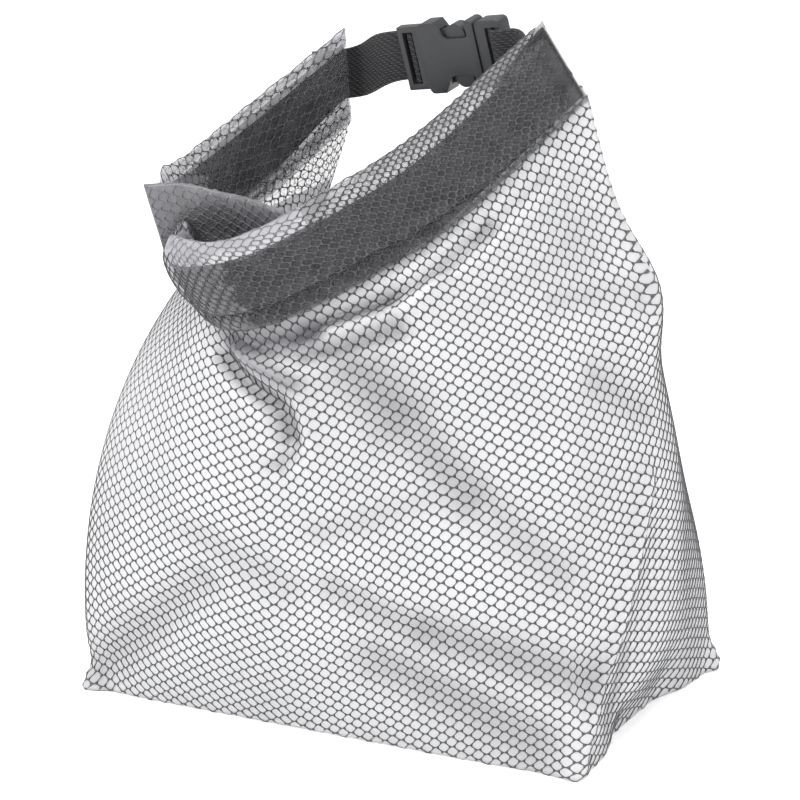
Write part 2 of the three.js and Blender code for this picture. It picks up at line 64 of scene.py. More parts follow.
camera_data = bpy.data.cameras.new("camera")
camera_data.lens = FOCAL_LENGTH
camera_data.sensor_width = SENSOR_WIDTH
camera = bpy.data.objects.new("camera", camera_data)
towards_camera = Vector((
    math.sin(AZIMUTH) * math.cos(ELEVATION),
    -math.cos(AZIMUTH) * math.cos(ELEVATION),
    math.sin(ELEVATION),
))
camera.location = CAMERA_TARGET + towards_camera * CAMERA_DISTANCE
camera.rotation_euler = towards_camera.to_track_quat("Z", "Y").to_euler()
bpy.context.scene.collection.objects.link(camera)
bpy.context.scene.camera = camera
print("camera at", [round(value, 3) for value in camera.location])

# %% [markdown]
# ## The shape of the bag
#
# A soft bag could be made with a cloth simulation, but this one has to match a given pose fold by fold.
# So its surface is a formula. Every place on the tube has two numbers: how far round the girth it lies,
# and how high up the wall. A cubic curve leads from the base through the belly and the shoulder to the
# roll. The tables hold the few places that steer those curves, in millimetres.

# %% Sizes of the bag
BASE_WIDTH = 160.0
BASE_DEPTH = 100.0
FLAT_WIDTH = BASE_WIDTH + BASE_DEPTH
GIRTH = 2 * FLAT_WIDTH
ROLL_HEIGHT = 26.0
print("girth of the tube, mm:", GIRTH)

# %% Places that steer the roll and the wall
# The roll's strip, from its front end round the bend to its rear end: lower edge x y z, upper edge x y z
ROLL_STATIONS = np.array([
    [62.5, -10, 187, 48, -8, 206],
    [14, -26, 138, -2, -22, 161],
    [-31, -41, 116, -50, -37, 139],
    [-50, -27, 120, -72.5, -23, 149],
    [-57, 1, 133, -69, -3, 155],
    [-48, 18, 145, -56, 10, 168],
    [-31, 28, 163, -33, 28, 190],
])

# Wall sections: place round the girth, then the belly's x y z and the shoulder's x y z
WALL_SECTIONS = np.array([
    [0, 90, 0, 58, 84, -12, 128],
    [50, 84, -56, 55, 64, -37, 118],
    [90, 40, -64, 48, 28, -50, 104],
    [130, 0, -66, 45, -5, -60, 92],
    [170, -44, -64, 42, -60, -50, 86],
    [210, -82, -54, 45, -91, -27, 94],
    [235, -88, -22, 55, -90, 9, 104],
    [260, -89, 8, 60, -50, 40, 112],
    [285, -87, 34, 58, -34, 46, 102],
    [310, -80, 58, 55, -22, 42, 92],
    [350, -38, 62, 50, -2, 26, 84],
    [390, 0, 62, 50, 16, 20, 84],
    [430, 40, 62, 50, 42, 18, 96],
    [470, 78, 53, 55, 68, 14, 110],
    [495, 83, 28, 58, 88, 3, 126],
])
print("stations of the roll:", len(ROLL_STATIONS), "and sections of the wall:", len(WALL_SECTIONS))

# %% [markdown]
# ### Folds of the film
#
# Soft film creases where it is gathered. Creases could be sculpted by hand, but a list of lines is
# easier to change. Each line pushes the wall in or out beside it. It can also grey the film there with
# painted shade, for the shade that falls in creases and hollows and under the roll. Some lines only do that.

# %% Table of folds
# Start round and up the wall, end round and up the wall, half width, how far out, how much painted shade
# greys the film.
# Heights are shares of the wall, the other sizes are millimetres, and the painted shade is a share too.
FOLDS = {
    "corner ridge": (50, 0.02, 10, 0.42, 5, 2.4, 0),
    "ridge crease": (44, 0.04, 5, 0.4, 2.5, -1.2, 0.33),
    "shade beside the ridge": (28, 0.06, 20, 0.15, 5, 0, 0.41),
    "side hollow": (12, 0, -14, 0, 11, -5.0, 0.08),
    "gusset hollow": (26, 0.1, 2, 0.3, 10, -2.5, 0.08),
    "gusset shade": (-27, 0.3, -29, 0.05, 11, 0, 0.29),
    "right shoulder": (5, 0.7, -5, 0.7, 14, 6.5, 0),
    "right neck hollow": (4, 0.88, -4, 0.88, 13, -0.6, 0),
    "right shoulder crease": (37, 0.77, 5, 0.71, 4, -0.8, 0.17),
    "right side crease": (27, 0.62, 4, 0.53, 5, -1.0, 0.21),
    "diagonal start": (104, 0.83, 92, 0.69, 10, -2.2, 0.5),
    "diagonal middle": (92, 0.69, 76, 0.51, 7, -2.8, 0.41),
    "diagonal dip": (79, 0.54, 72, 0.48, 7, -1.2, 0.25),
    "diagonal tail": (74, 0.5, 52, 0.36, 7, -2.0, 0.25),
    "funnel crease upper": (149, 0.905, 131.4, 0.795, 4, -4.3, 0.6),
    "funnel crease lower": (129, 0.758, 128, 0.705, 4, -4.0, 0.65),
    "funnel crease end": (129, 0.665, 133, 0.635, 3.5, -1.8, 0.35),
    "funnel lip upper": (141, 0.935, 123.4, 0.825, 4.5, 3.2, 0.75),
    "funnel lip lower": (121, 0.785, 120.5, 0.705, 4, 3.0, 0.15),
    "funnel lip end": (122, 0.665, 126.5, 0.635, 3.5, 1.3, 0),
    "funnel top": (145, 0.955, 114, 0.945, 7, -1.5, 1),
    "crescent crease left": (117, 0.965, 88, 0.925, 4, -2.2, 1),
    "crescent crease right": (88, 0.925, 50, 0.955, 3, -2.0, 0.45),
    "crescent left": (109, 0.925, 88, 0.892, 5, 3.4, 0),
    "crescent right": (88, 0.892, 74, 0.915, 5, 3.0, 0),
    "crescent foot": (118, 0.895, 88, 0.858, 4, -1.6, 0.7),
    "crease under roll": (54, 0.95, 24, 0.945, 3, -1.6, 0.21),
    "left corner crease": (206, 0.04, 161, 0.34, 7, -2.6, 0.29),
    "left middle dent": (159, 0.44, 136, 0.35, 8, -1.6, 0.21),
    "middle crease": (122, 0.48, 84, 0.52, 5, -0.8, 0.17),
    "lower sweep": (121, 0.35, 94, 0.26, 6, -1.8, 0.29),
    "lower sweep right": (94, 0.26, 41, 0.17, 7, -2.0, 0.46),
    "bottom dent": (108, 0.19, 64, 0.06, 9, -1.8, 0.41),
    "right neck shade": (62, 0.9, 22, 0.88, 16, 0, 0.18),
    "front left weld tip": (210, 0, 210, 0.01, 5, 4.0, 0),
    "rear left weld tip": (310, 0, 310, 0.01, 5, 4.0, 0),
    "rear right weld tip": (470, 0, 470, 0.01, 5, 4.0, 0),
}
print("folds:", len(FOLDS))


# %% Curves through places
def through_points(knots, points, at, period=0.0):
    """Smooth curve through points at their knots, closed on itself when it has a period."""
    knots = np.asarray(knots, float)
    points = np.asarray(points, float)
    if period:
        knots = np.concatenate([knots[-2:] - period, knots, knots[:3] + period])
        points = np.concatenate([points[-2:], points, points[:3]])
    slopes = np.gradient(points, knots, axis=0)
    index = np.clip(np.searchsorted(knots, at, side="right") - 1, 0, len(knots) - 2)
    span = (knots[index + 1] - knots[index])[..., None]
    x = (at - knots[index])[..., None] / span
    return (
        (2 * x**3 - 3 * x**2 + 1) * points[index]
        + (x**3 - 2 * x**2 + x) * span * slopes[index]
        + (3 * x**2 - 2 * x**3) * points[index + 1]
        + (x**3 - x**2) * span * slopes[index + 1]
    )


def chord_knots(points):
    """Distance along a row of points, which spaces a curve through them evenly."""
    steps = np.linalg.norm(np.diff(points, axis=0), axis=1)
    return np.concatenate([[0.0], np.cumsum(steps)])


def unit(vectors):
    return vectors / np.linalg.norm(vectors, axis=-1, keepdims=True)


def smooth_step(value):
    inside = np.clip(value, 0, 1)
    return inside * inside * (3 - 2 * inside)


# %% The strip that carries the roll
ROLL_LOW = ROLL_STATIONS[:, :3]
ROLL_HIGH = ROLL_STATIONS[:, 3:]
ROLL_KNOTS = chord_knots(ROLL_LOW)
ROLL_LENGTH = ROLL_KNOTS[-1]
STRIP_STEP = 0.002


def strip_edges(share):
    distance = np.clip(share, 0, 1) * ROLL_LENGTH
    return through_points(ROLL_KNOTS, ROLL_LOW, distance), through_points(ROLL_KNOTS, ROLL_HIGH, distance)


def strip_frames(share):
    """Lower edge, rise to the upper edge, way along and way out of the strip, at shares of its length."""
    low, high = strip_edges(share)
    low_before, high_before = strip_edges(share - STRIP_STEP)
    low_after, high_after = strip_edges(share + STRIP_STEP)
    along = unit(low_after - low_before + high_after - high_before)
    rise = high - low
    outward = unit(np.cross(rise, along))
    return low, rise, along, outward


def on_strip(share, across, level):
    """A point of the roll's section: how far out of the strip, and a level in millimetres up its height."""
    low, rise, _, outward = strip_frames(np.asarray(share, float))
    up = np.asarray(level)[..., None] / ROLL_HEIGHT
    return low + rise * up + outward * np.asarray(across)[..., None]


print("length of the roll's strip, mm:", round(ROLL_LENGTH, 1))

# %% Base and neck of the tube
BASE_CORNER = 4.0
NECK_HALF = 1.35
NECK_END_ROUND = 6.0
BASE_HALF = np.array([BASE_WIDTH, BASE_DEPTH]) / 2
CORNERS = np.array([[1, 0], [1, -1], [-1, -1], [-1, 1], [1, 1], [1, 0]]) * BASE_HALF
CORNERS_ROUND = chord_knots(CORNERS)


def base_point(around):
    """Rounded rectangle of the base, by distance along the girth."""
    place = np.mod(around, GIRTH)
    point = np.stack([np.interp(place, CORNERS_ROUND, CORNERS[:, axis]) for axis in (0, 1)], axis=-1)
    limit = BASE_HALF - BASE_CORNER
    inside = np.clip(point, -limit, limit)
    spoke = point - inside
    on_corner = np.all(np.abs(spoke) > 0, axis=-1, keepdims=True)
    length = np.linalg.norm(spoke, axis=-1, keepdims=True)
    spoke = np.where(on_corner, spoke * BASE_CORNER / np.maximum(length, BASE_CORNER), spoke)
    return np.concatenate([inside + spoke, np.zeros_like(length)], axis=-1)


def neck_point(around, level):
    """The two flat walls of the tube on either side of the roll's strip."""
    place = np.mod(around, GIRTH)
    front_wall = place <= FLAT_WIDTH
    share = np.where(front_wall, place, GIRTH - place) / FLAT_WIDTH
    from_end = np.minimum(share, 1 - share) * FLAT_WIDTH
    ending = np.clip(1 - from_end / NECK_END_ROUND, 0, 1)
    half = NECK_HALF * np.sqrt(1 - ending**2)
    return on_strip(share, np.where(front_wall, half, -half), level)


print("corners of the base, mm round the girth:", CORNERS_ROUND)

# %% Wall of the tube
WALL_HEIGHT = 150.0
NECK_CALM = 0.04
ROUND_STEP, HEIGHT_STEP = 1.5, 0.01


def smooth_wall(around, height):
    """The wall before its folds: a cubic from the base through belly and shoulder to the neck."""
    place = np.mod(around, GIRTH)
    steered = through_points(WALL_SECTIONS[:, 0], WALL_SECTIONS[:, 1:], place, GIRTH)
    t = np.clip(height, 0, 1)[..., None]
    return (
        (1 - t)**3 * base_point(place)
        + 3 * (1 - t)**2 * t * steered[..., :3]
        + 3 * (1 - t) * t**2 * steered[..., 3:]
        + t**3 * neck_point(place, np.zeros_like(place))
    )


def folds_at(around, height):
    """How far the folds push the wall out, fading at the neck, and how much painted shade they lay on it at
    each place.
    """
    out, grey = np.zeros_like(around), np.zeros_like(around)
    for start_round, start_height, end_round, end_height, width, push, shade in FOLDS.values():
        start = np.array([start_round, start_height * WALL_HEIGHT])
        line = np.array([end_round, end_height * WALL_HEIGHT]) - start
        nearest = around - GIRTH * np.round((around - start_round) / GIRTH)
        place = np.stack([nearest, height * WALL_HEIGHT], axis=-1) - start
        share = np.clip(place @ line / (line @ line), 0, 1)
        distance = np.linalg.norm(place - share[..., None] * line, axis=-1)
        strength = np.exp(-((distance / width) ** 2))
        out += push * strength
        # Painted shade: the darkest fold line near a place sets its grey
        grey = np.maximum(grey, shade * strength)
    return out * np.clip((1 - height) / NECK_CALM, 0, 1), grey


def wall_point(around, height):
    """The outer face of the film, with its folds."""
    point = smooth_wall(around, height)
    across = smooth_wall(around + ROUND_STEP, height) - smooth_wall(around - ROUND_STEP, height)
    up = smooth_wall(around, height + HEIGHT_STEP) - smooth_wall(around, height - HEIGHT_STEP)
    out = np.cross(up, across)
    out[..., 2] = np.where(height <= 0, 0, out[..., 2])
    return point + unit(out) * folds_at(around, height)[0][..., None]


front_middle = wall_point(np.array([GIRTH / 4]), np.array([0.5]))[0]
print("a place half way up the front wall, mm:", front_middle.round(1))

# %% [markdown]
# ## Meshes from arrays
#
# Film and webbing are surfaces with rows and columns, which could be pulled into shape by hand. Their
# places come from formulas here, so helpers turn a table of points into a mesh. A UV map in millimetres
# lets a weave be drawn at its real size. Operators act on all that is selected, so one helper selects a
# single piece first.

# %% Mesh helpers
def new_piece(name, points, faces, uv=None):
    """A mesh object from points in millimetres and faces, with an optional UV pair for each face corner."""
    mesh = bpy.data.meshes.new(name)
    mesh.from_pydata((np.asarray(points) * MM).tolist(), [], faces)
    if uv is not None:
        layer = mesh.uv_layers.new(name="weave_mm")
        layer.data.foreach_set("uv", np.asarray(uv, np.float32).ravel())
    mesh.validate()
    piece = bpy.data.objects.new(name, mesh)
    bpy.context.scene.collection.objects.link(piece)
    mesh.shade_smooth()
    return piece


def grid_faces(rows, columns, closed=False):
    """Quads of a table of points, row by row, joined round when the rows are closed."""
    across = columns if closed else columns - 1
    row, column = np.meshgrid(np.arange(rows - 1), np.arange(across), indexing="ij")
    right = (column + 1) % columns
    quads = np.stack([
        row * columns + column,
        row * columns + right,
        (row + 1) * columns + right,
        (row + 1) * columns + column,
    ], axis=-1)
    return quads.reshape(-1, 4)


def grid_uv(row_places, column_places):
    """A UV pair for each corner of the quads that grid_faces makes."""
    low, left = np.meshgrid(row_places[:-1], column_places[:-1], indexing="ij")
    high, right = np.meshgrid(row_places[1:], column_places[1:], indexing="ij")
    corners = [(left, low), (right, low), (right, high), (left, high)]
    return np.stack([np.stack(corner, axis=-1) for corner in corners], axis=-2).reshape(-1, 2)


# %% Selecting and finishing helpers
def deselect_all():
    bpy.ops.object.select_all(action="DESELECT")


def select_only(piece):
    deselect_all()
    bpy.context.view_layer.objects.active = piece
    piece.select_set(True)


def apply_modifier(piece, kind, **settings):
    """Adds a modifier, sets it and applies it."""
    select_only(piece)
    modifier = piece.modifiers.new(kind.lower(), kind)
    for setting, value in settings.items():
        setattr(modifier, setting, value)
    bpy.ops.object.modifier_apply(modifier=modifier.name)


def triangles(piece):
    return sum(len(face.vertices) - 2 for face in piece.data.polygons)


# %% [markdown]
# ## Materials
#
# Every finish is built from nodes. Colours are sRGB values turned to linear by one function, and each
# pattern's scale is worked out from a real size in millimetres.

# %% Material helpers
def linear(hex_colour):
    """An sRGB colour such as 8a8b8d as linear values with full alpha."""
    values = [int(hex_colour[start:start + 2], 16) / 255 for start in (0, 2, 4)]
    return [v / 12.92 if v <= 0.04045 else ((v + 0.055) / 1.055) ** 2.4 for v in values] + [1.0]


def add_node(tree, kind, inputs=(), **settings):
    """One node with its settings. An input is a pair of name or place and value, and a socket is linked."""
    node = tree.nodes.new(kind)
    for setting, value in settings.items():
        setattr(node, setting, value)
    for name, value in inputs:
        by_name = [socket for socket in node.inputs if socket.enabled and socket.name == name]
        socket = node.inputs[name] if isinstance(name, int) else by_name[0]
        if isinstance(value, bpy.types.NodeSocket):
            tree.links.new(value, socket)
        else:
            socket.default_value = value
    return node


def new_material(name):
    material = bpy.data.materials.new(name)
    material.use_nodes = True
    material.node_tree.nodes.clear()
    return material, material.node_tree


def finish_material(tree, shader):
    add_node(tree, "ShaderNodeOutputMaterial", [("Surface", shader.outputs["BSDF"])])


def two_colours(tree, factor, dark, light):
    """A ramp between two sRGB colours."""
    ramp = add_node(tree, "ShaderNodeValToRGB", [("Fac", factor)])
    ramp.color_ramp.elements[0].color = linear(dark)
    ramp.color_ramp.elements[1].color = linear(light)
    return ramp.outputs["Color"]


def per_mm(size):
    """Noise scale for Object coordinates, which are in metres, from a size in millimetres."""
    return 1 / (size * MM)


# %% [markdown]
# ### Film
#
# The film is plasticised PVC, calendered into a sheet and heat sealed over its net. On the wall it is
# milky, in the loop it is clearer, and over the dark band it is clear and glossy. Where it is folded or
# crumpled at the roll, layers add up and it turns grey. Several shaders could be mixed for that, but a
# lone Principled shader with a plain alpha keeps its gloss and its see-through. On the wall an attribute
# of the mesh says where painted shade greys the film, in its creases and hollows and under the roll.
# A stretch of the hem before the bend gets a lighter film, a painted highlight.

# %% Film materials
# The grey of the painted shade in creases, hollows and under the roll
PAINTED_SHADE_GREY = "747278"


def film_material(name, dark, light, alpha, roughness, haze_mm, wrinkle_mm, wrinkle_depth):
    """Film with a haze between two colours, greyed by painted shade where its mesh says, and wrinkles of a
    size and a depth in millimetres.
    """
    material, tree = new_material(name)
    place = add_node(tree, "ShaderNodeTexCoord").outputs["Object"]
    haze = add_node(tree, "ShaderNodeTexNoise", [
        ("Vector", place), ("Scale", per_mm(haze_mm)), ("Detail", 3.0)])
    colour = two_colours(tree, haze.outputs["Fac"], dark, light)
    # Painted shade: the fold_shade attribute of the mesh mixes the colour towards a grey
    folded = add_node(tree, "ShaderNodeAttribute", attribute_name="fold_shade")
    shaded = add_node(tree, "ShaderNodeMix", [
        ("Factor", folded.outputs["Fac"]), ("A", colour), ("B", linear(PAINTED_SHADE_GREY))], data_type="RGBA")
    wrinkle = add_node(tree, "ShaderNodeTexNoise", [
        ("Vector", place), ("Scale", per_mm(wrinkle_mm)), ("Detail", 2.0), ("Distortion", 0.6)])
    bump = add_node(tree, "ShaderNodeBump", [
        ("Height", wrinkle.outputs["Fac"]), ("Distance", wrinkle_depth * MM), ("Strength", 0.6)])
    shader = add_node(tree, "ShaderNodeBsdfPrincipled", [
        ("Base Color", next(socket for socket in shaded.outputs if socket.enabled)),
        ("Roughness", roughness), ("IOR", 1.54), ("Alpha", alpha),
        ("Normal", bump.outputs["Normal"])])
    finish_material(tree, shader)
    return material


# Film of the wall: pale and soft, and it half hides what is behind it
milky_film = film_material("milky PVC film", "d8d8da", "f0f0f1", 0.7, 0.34, 28, 9, 0.5)
# Film seen through the loop: a thin white veil between the threads
neck_film = film_material("clearer PVC film of the neck", "e6e6e8", "f6f6f7", 0.22, 0.3, 28, 9, 0.5)
# Film of the hem, two layers with nothing between: a grey veil with wet highlights
hem_film = film_material("PVC film of the hem", "7c7c80", "c4c4c8", 0.42, 0.2, 7, 5, 0.9)
# Lighter copy of the hem film towards the bend: a painted highlight on the hem
hem_highlight_film = film_material("PVC film of the hem, lightened for a painted highlight", "a2a2a6", "dadade", 0.6, 0.2, 7, 5, 0.9)
# Film flat on the webbing: dark, with a broken gloss
clear_film = film_material("clear PVC film over webbing", "1a1a1c", "88888c", 0.22, 0.25, 5, 2.2, 0.9)
# Film beside the bend: fine creases that haze the webbing
hazed_film = film_material("creased PVC film", "626266", "a8a8ac", 0.4, 0.3, 2.5, 3, 0.9)
# Film of the bend: crumpled until it is nearly solid, pale and dark by turns
crumpled_film = film_material("crumpled PVC film of the bend", "5c5c60", "ccccd0", 0.85, 0.35, 2.5, 3, 1.2)
# Film folded several times: solid and dull grey
folded_film = film_material("folded PVC film", "4c4c50", "8a8a8e", 0.95, 0.3, 6, 4, 0.8)
print("film materials:", len(bpy.data.materials))


# %% [markdown]
# ### Net thread
#
# The net is warp-knitted polyester, a dull mid grey. Against the white film it reads dark, and against
# the webbing it reads light. How dark depends on the film over it, so each place has a thread of its
# own.

# %% Net materials
# Real fibres are far finer, and are drawn as coarse as they need to show
FIBRE_SIZE, FIBRE_RELIEF = 1.2, 0.1


def net_material(name, dark, light):
    material, tree = new_material(name)
    place = add_node(tree, "ShaderNodeTexCoord").outputs["Object"]
    fibre = add_node(tree, "ShaderNodeTexNoise", [
        ("Vector", place), ("Scale", per_mm(FIBRE_SIZE)), ("Detail", 2.0)])
    bump = add_node(tree, "ShaderNodeBump", [
        ("Height", fibre.outputs["Fac"]), ("Distance", FIBRE_RELIEF * MM), ("Strength", 0.5)])
    shader = add_node(tree, "ShaderNodeBsdfPrincipled", [
        ("Base Color", two_colours(tree, fibre.outputs["Fac"], dark, light)),
        ("Roughness", 0.55), ("Normal", bump.outputs["Normal"])])
    finish_material(tree, shader)
    return material


# On milky film: a fine dark line round each cell
wall_thread = net_material("grey polyester net", "4a4a4d", "68686b")
# On the hem: dark, because the film there is clear and doesn't veil it
roll_thread = net_material("grey polyester net under clear film", "38383b", "606064")
# On the band: a little lighter than the webbing, so its cells just show
band_thread = net_material("grey polyester net over webbing", "3e3e42", "707074")
# On folded film: pale, and veiled by the film. On the hem it is also the lighter thread of a painted
# highlight
fold_thread = net_material("grey polyester net of the fold", "707074", "9c9ca0")
print("net materials:", [thread.name for thread in (wall_thread, roll_thread, band_thread, fold_thread)])


# %% [markdown]
# ### Webbing
#
# The straps and the band in the roll are woven from dark polypropylene yarn in a twill, so fine diagonal
# ribs cross them. Yarns could be modelled, but at this size two Wave textures and a bump look the same.
# The band lies under film, which the coat layer of its shader gives it.

# %% Webbing materials
TWILL_PITCH = 1.5
TWILL_ANGLE = math.radians(38)
YARN_PITCH = 0.75
RIB_RELIEF = 0.35
# A Wave texture of scale 1 repeats after this length
WAVE_PERIOD = 2 * math.pi / 20


def webbing_material(name, dark, light, coat):
    material, tree = new_material(name)
    place = add_node(tree, "ShaderNodeUVMap", uv_map="weave_mm").outputs["UV"]
    turned = add_node(tree, "ShaderNodeMapping", [("Vector", place), ("Rotation", (0, 0, TWILL_ANGLE))])
    twill = add_node(tree, "ShaderNodeTexWave", [
        ("Vector", turned.outputs["Vector"]), ("Scale", WAVE_PERIOD / TWILL_PITCH), ("Distortion", 0.6)])
    yarn = add_node(tree, "ShaderNodeTexWave", [
        ("Vector", place), ("Scale", WAVE_PERIOD / YARN_PITCH), ("Distortion", 1.0)])
    weave = add_node(tree, "ShaderNodeMath", [
        (0, twill.outputs["Fac"]), (1, yarn.outputs["Fac"])], operation="MULTIPLY")
    bump = add_node(tree, "ShaderNodeBump", [
        ("Height", weave.outputs["Value"]), ("Distance", RIB_RELIEF * MM), ("Strength", 0.8)])
    shader = add_node(tree, "ShaderNodeBsdfPrincipled", [
        ("Base Color", two_colours(tree, weave.outputs["Value"], dark, light)),
        ("Roughness", 0.75), ("Coat Weight", coat), ("Coat Roughness", 0.28),
        ("Normal", bump.outputs["Normal"])])
    finish_material(tree, shader)
    return material


# Bare straps: dull black, with ribs that catch the light
strap_webbing = webbing_material("black polypropylene webbing", "18181a", "4b4b4e", 0.0)
# The band: darker, because film keeps light from it
band_webbing = webbing_material("black webbing under film", "111113", "333337", 0.2)
# The band at the bend: veiled to a mid grey
pocket_webbing = webbing_material("webbing under hazy film", "56565a", "8c8c90", 0.1)
print("webbing materials:", [webbing.name for webbing in (strap_webbing, band_webbing, pocket_webbing)])


# %% [markdown]
# ### Buckle plastic
#
# The buckle is moulded acetal with a fine spark-eroded grain, which scatters highlights into a soft grey
# sheen. A noise in the bump is enough for that, and the grain needs no geometry.

# %% Buckle material
# Real grain is about a fifth of this, and is drawn as coarse as it needs to show
GRAIN_SIZE, GRAIN_RELIEF = 0.5, 0.08


def buckle_material():
    material, tree = new_material("moulded black acetal")
    place = add_node(tree, "ShaderNodeTexCoord").outputs["Object"]
    grain = add_node(tree, "ShaderNodeTexNoise", [
        ("Vector", place), ("Scale", per_mm(GRAIN_SIZE)), ("Detail", 2.0)])
    bump = add_node(tree, "ShaderNodeBump", [
        ("Height", grain.outputs["Fac"]), ("Distance", GRAIN_RELIEF * MM), ("Strength", 0.5)])
    shader = add_node(tree, "ShaderNodeBsdfPrincipled", [
        ("Base Color", two_colours(tree, grain.outputs["Fac"], "2b2c2e", "38393b")),
        ("Roughness", 0.46), ("IOR", 1.48), ("Normal", bump.outputs["Normal"])])
    finish_material(tree, shader)
    return material


acetal = buckle_material()
print("buckle material:", acetal.name)

# %% [markdown]
# ## Film of the body
#
# The body is one sheet: the flat base, the wall and the first millimetres of the neck, which go up into
# the roll. It could be sewn from flat panels, but the formula already says where every place of the tube
# lies. A Solidify modifier gives it the thickness of real film, inwards, so that its outer face stays in
# its place. The neck of the rear leg, which is seen through the loop, gets the clearer film.

# %% Film body
FILM_THICK = 0.45
BODY_COLUMNS = 312
WALL_ROWS = 100
BASE_RINGS = 8
TUCK_ROWS = 4
TUCK_LEVEL = 4.0
LOOP_FROM = 0.86
REAR_LEG_ROUND = 205.0


def body_film():
    around = np.arange(BODY_COLUMNS) * GIRTH / BODY_COLUMNS
    heights = np.linspace(0, 1, WALL_ROWS + 1)
    tucks = np.linspace(0, TUCK_LEVEL, TUCK_ROWS + 1)[1:]
    foot = wall_point(around, np.zeros_like(around))
    rows = [foot * (ring + 1) / (BASE_RINGS + 1) for ring in range(BASE_RINGS)]
    rows += [wall_point(around, np.full_like(around, height)) for height in heights]
    rows += [neck_point(around, np.full_like(around, level)) for level in tucks]
    points = np.concatenate(rows + [np.zeros((1, 3))])
    faces = grid_faces(len(rows), BODY_COLUMNS, closed=True).tolist()
    middle = len(points) - 1
    faces += [[middle, (column + 1) % BODY_COLUMNS, column] for column in range(BODY_COLUMNS)]
    piece = new_piece("body_film", points, faces)
    piece.data.flip_normals()
    # Painted shade: each point of the wall gets the grey share of the folds, which its film mixes in
    shade = np.zeros((len(rows), BODY_COLUMNS), np.float32)
    for row, height in enumerate(heights):
        shade[BASE_RINGS + row] = folds_at(around, np.full_like(around, height))[1]
    grey = piece.data.attributes.new("fold_shade", "FLOAT", "POINT")
    grey.data.foreach_set("value", np.append(shade, np.float32(0)))
    row, column = np.divmod(np.arange(len(piece.data.polygons)), BODY_COLUMNS)
    in_neck = (row > BASE_RINGS + LOOP_FROM * WALL_ROWS) & (row < len(rows) - 1)
    in_loop = in_neck & (around[column] > REAR_LEG_ROUND)
    piece.data.materials.append(milky_film)
    piece.data.materials.append(neck_film)
    piece.data.polygons.foreach_set("material_index", in_loop.astype(np.int32))
    apply_modifier(piece, "SOLIDIFY", thickness=FILM_THICK * MM, offset=-1.0)
    return piece


body = body_film()
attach(body, "root")
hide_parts("film_body")
print("body film:", triangles(body), "triangles")

# %% [markdown]
# ## Net
#
# The net could be painted on the film, but then it would have no edge and no shade of its own. Here each
# cell is a ring of faces: a ridge along the cell's six sides, sloping down to a hole with cut corners,
# and a flat back. Cells come from a lattice in the flat film, measured in millimetres. A table of the
# surface lifts them into place.

# %% One cell of the net
COLUMN_STEP = np.array([2.6, 0.95])
CELL_STEP = np.array([0.0, 3.25])
SIDES = 6
KNOT_PULL = 0.58
CORNER_CUT = 0.28


def cell_corners():
    """The six corners of a cell, drawn in pairs towards the knot that they share."""
    near, up = COLUMN_STEP, CELL_STEP
    ring = np.array([near, up, up - near, -near, -up, near - up])
    even = (ring + np.roll(ring, -1, axis=0)) / 3
    knots = np.array([up / 2, up / 2, up / 2 - near, -up / 2, -up / 2, near - up / 2])
    return even + KNOT_PULL * (knots - even)


def cell_hole(corners):
    """The hole of a cell before its thread draws it in: its sides, with the corners cut."""
    neighbours = [np.roll(corners, 1, axis=0), np.roll(corners, -1, axis=0)]
    cut = np.stack([corners + CORNER_CUT * (neighbour - corners) for neighbour in neighbours], axis=1)
    return cut.reshape(-1, 2)


def cell_faces(count):
    """Faces from the ridge and the back to the hole: a tip at each corner, and a side to the next one."""
    first_corner = SIDES * np.arange(count)[:, None]
    corner = (first_corner + np.arange(SIDES)).ravel()
    after = (first_corner + np.roll(np.arange(SIDES), -1)).ravel()
    hole_start = 2 * SIDES * count
    before_cut, after_cut = hole_start + 2 * corner, hole_start + 2 * corner + 1
    next_cut = hole_start + 2 * after
    faces = []
    for start, way in ((0, 1), (SIDES * count, -1)):
        tips = np.stack([start + corner, after_cut, before_cut], axis=-1)
        sides = np.stack([start + corner, start + after, next_cut, after_cut], axis=-1)
        faces += tips[:, ::way].tolist() + sides[:, ::way].tolist()
    return faces


print("corners of a cell, mm:", cell_corners().round(2).tolist())


# %% Pieces of net
# Share of a cell that the thread takes on the wall and on the roll, its height, and its room to the film
WALL_THREAD = 0.105
ROLL_THREAD = 0.07
THREAD_HEIGHT = 0.3
THREAD_CLEAR = 0.02
WELD_REACH = 0.02


def lattice(low, high):
    """Middles of the cells in a rectangle of the flat film."""
    columns = np.arange(math.floor(low[0] / COLUMN_STEP[0]), math.ceil(high[0] / COLUMN_STEP[0]) + 1)
    shift = np.mod(columns * COLUMN_STEP[1], CELL_STEP[1])
    rows = np.arange(math.floor(low[1] / CELL_STEP[1]) - 1, math.ceil(high[1] / CELL_STEP[1]) + 1)
    u = np.repeat(columns * COLUMN_STEP[0], len(rows))
    v = (rows[None, :] * CELL_STEP[1] + shift[:, None]).ravel()
    inside = (u >= low[0]) & (u <= high[0]) & (v >= low[1]) & (v <= high[1])
    return np.stack([u, v], axis=-1)[inside]


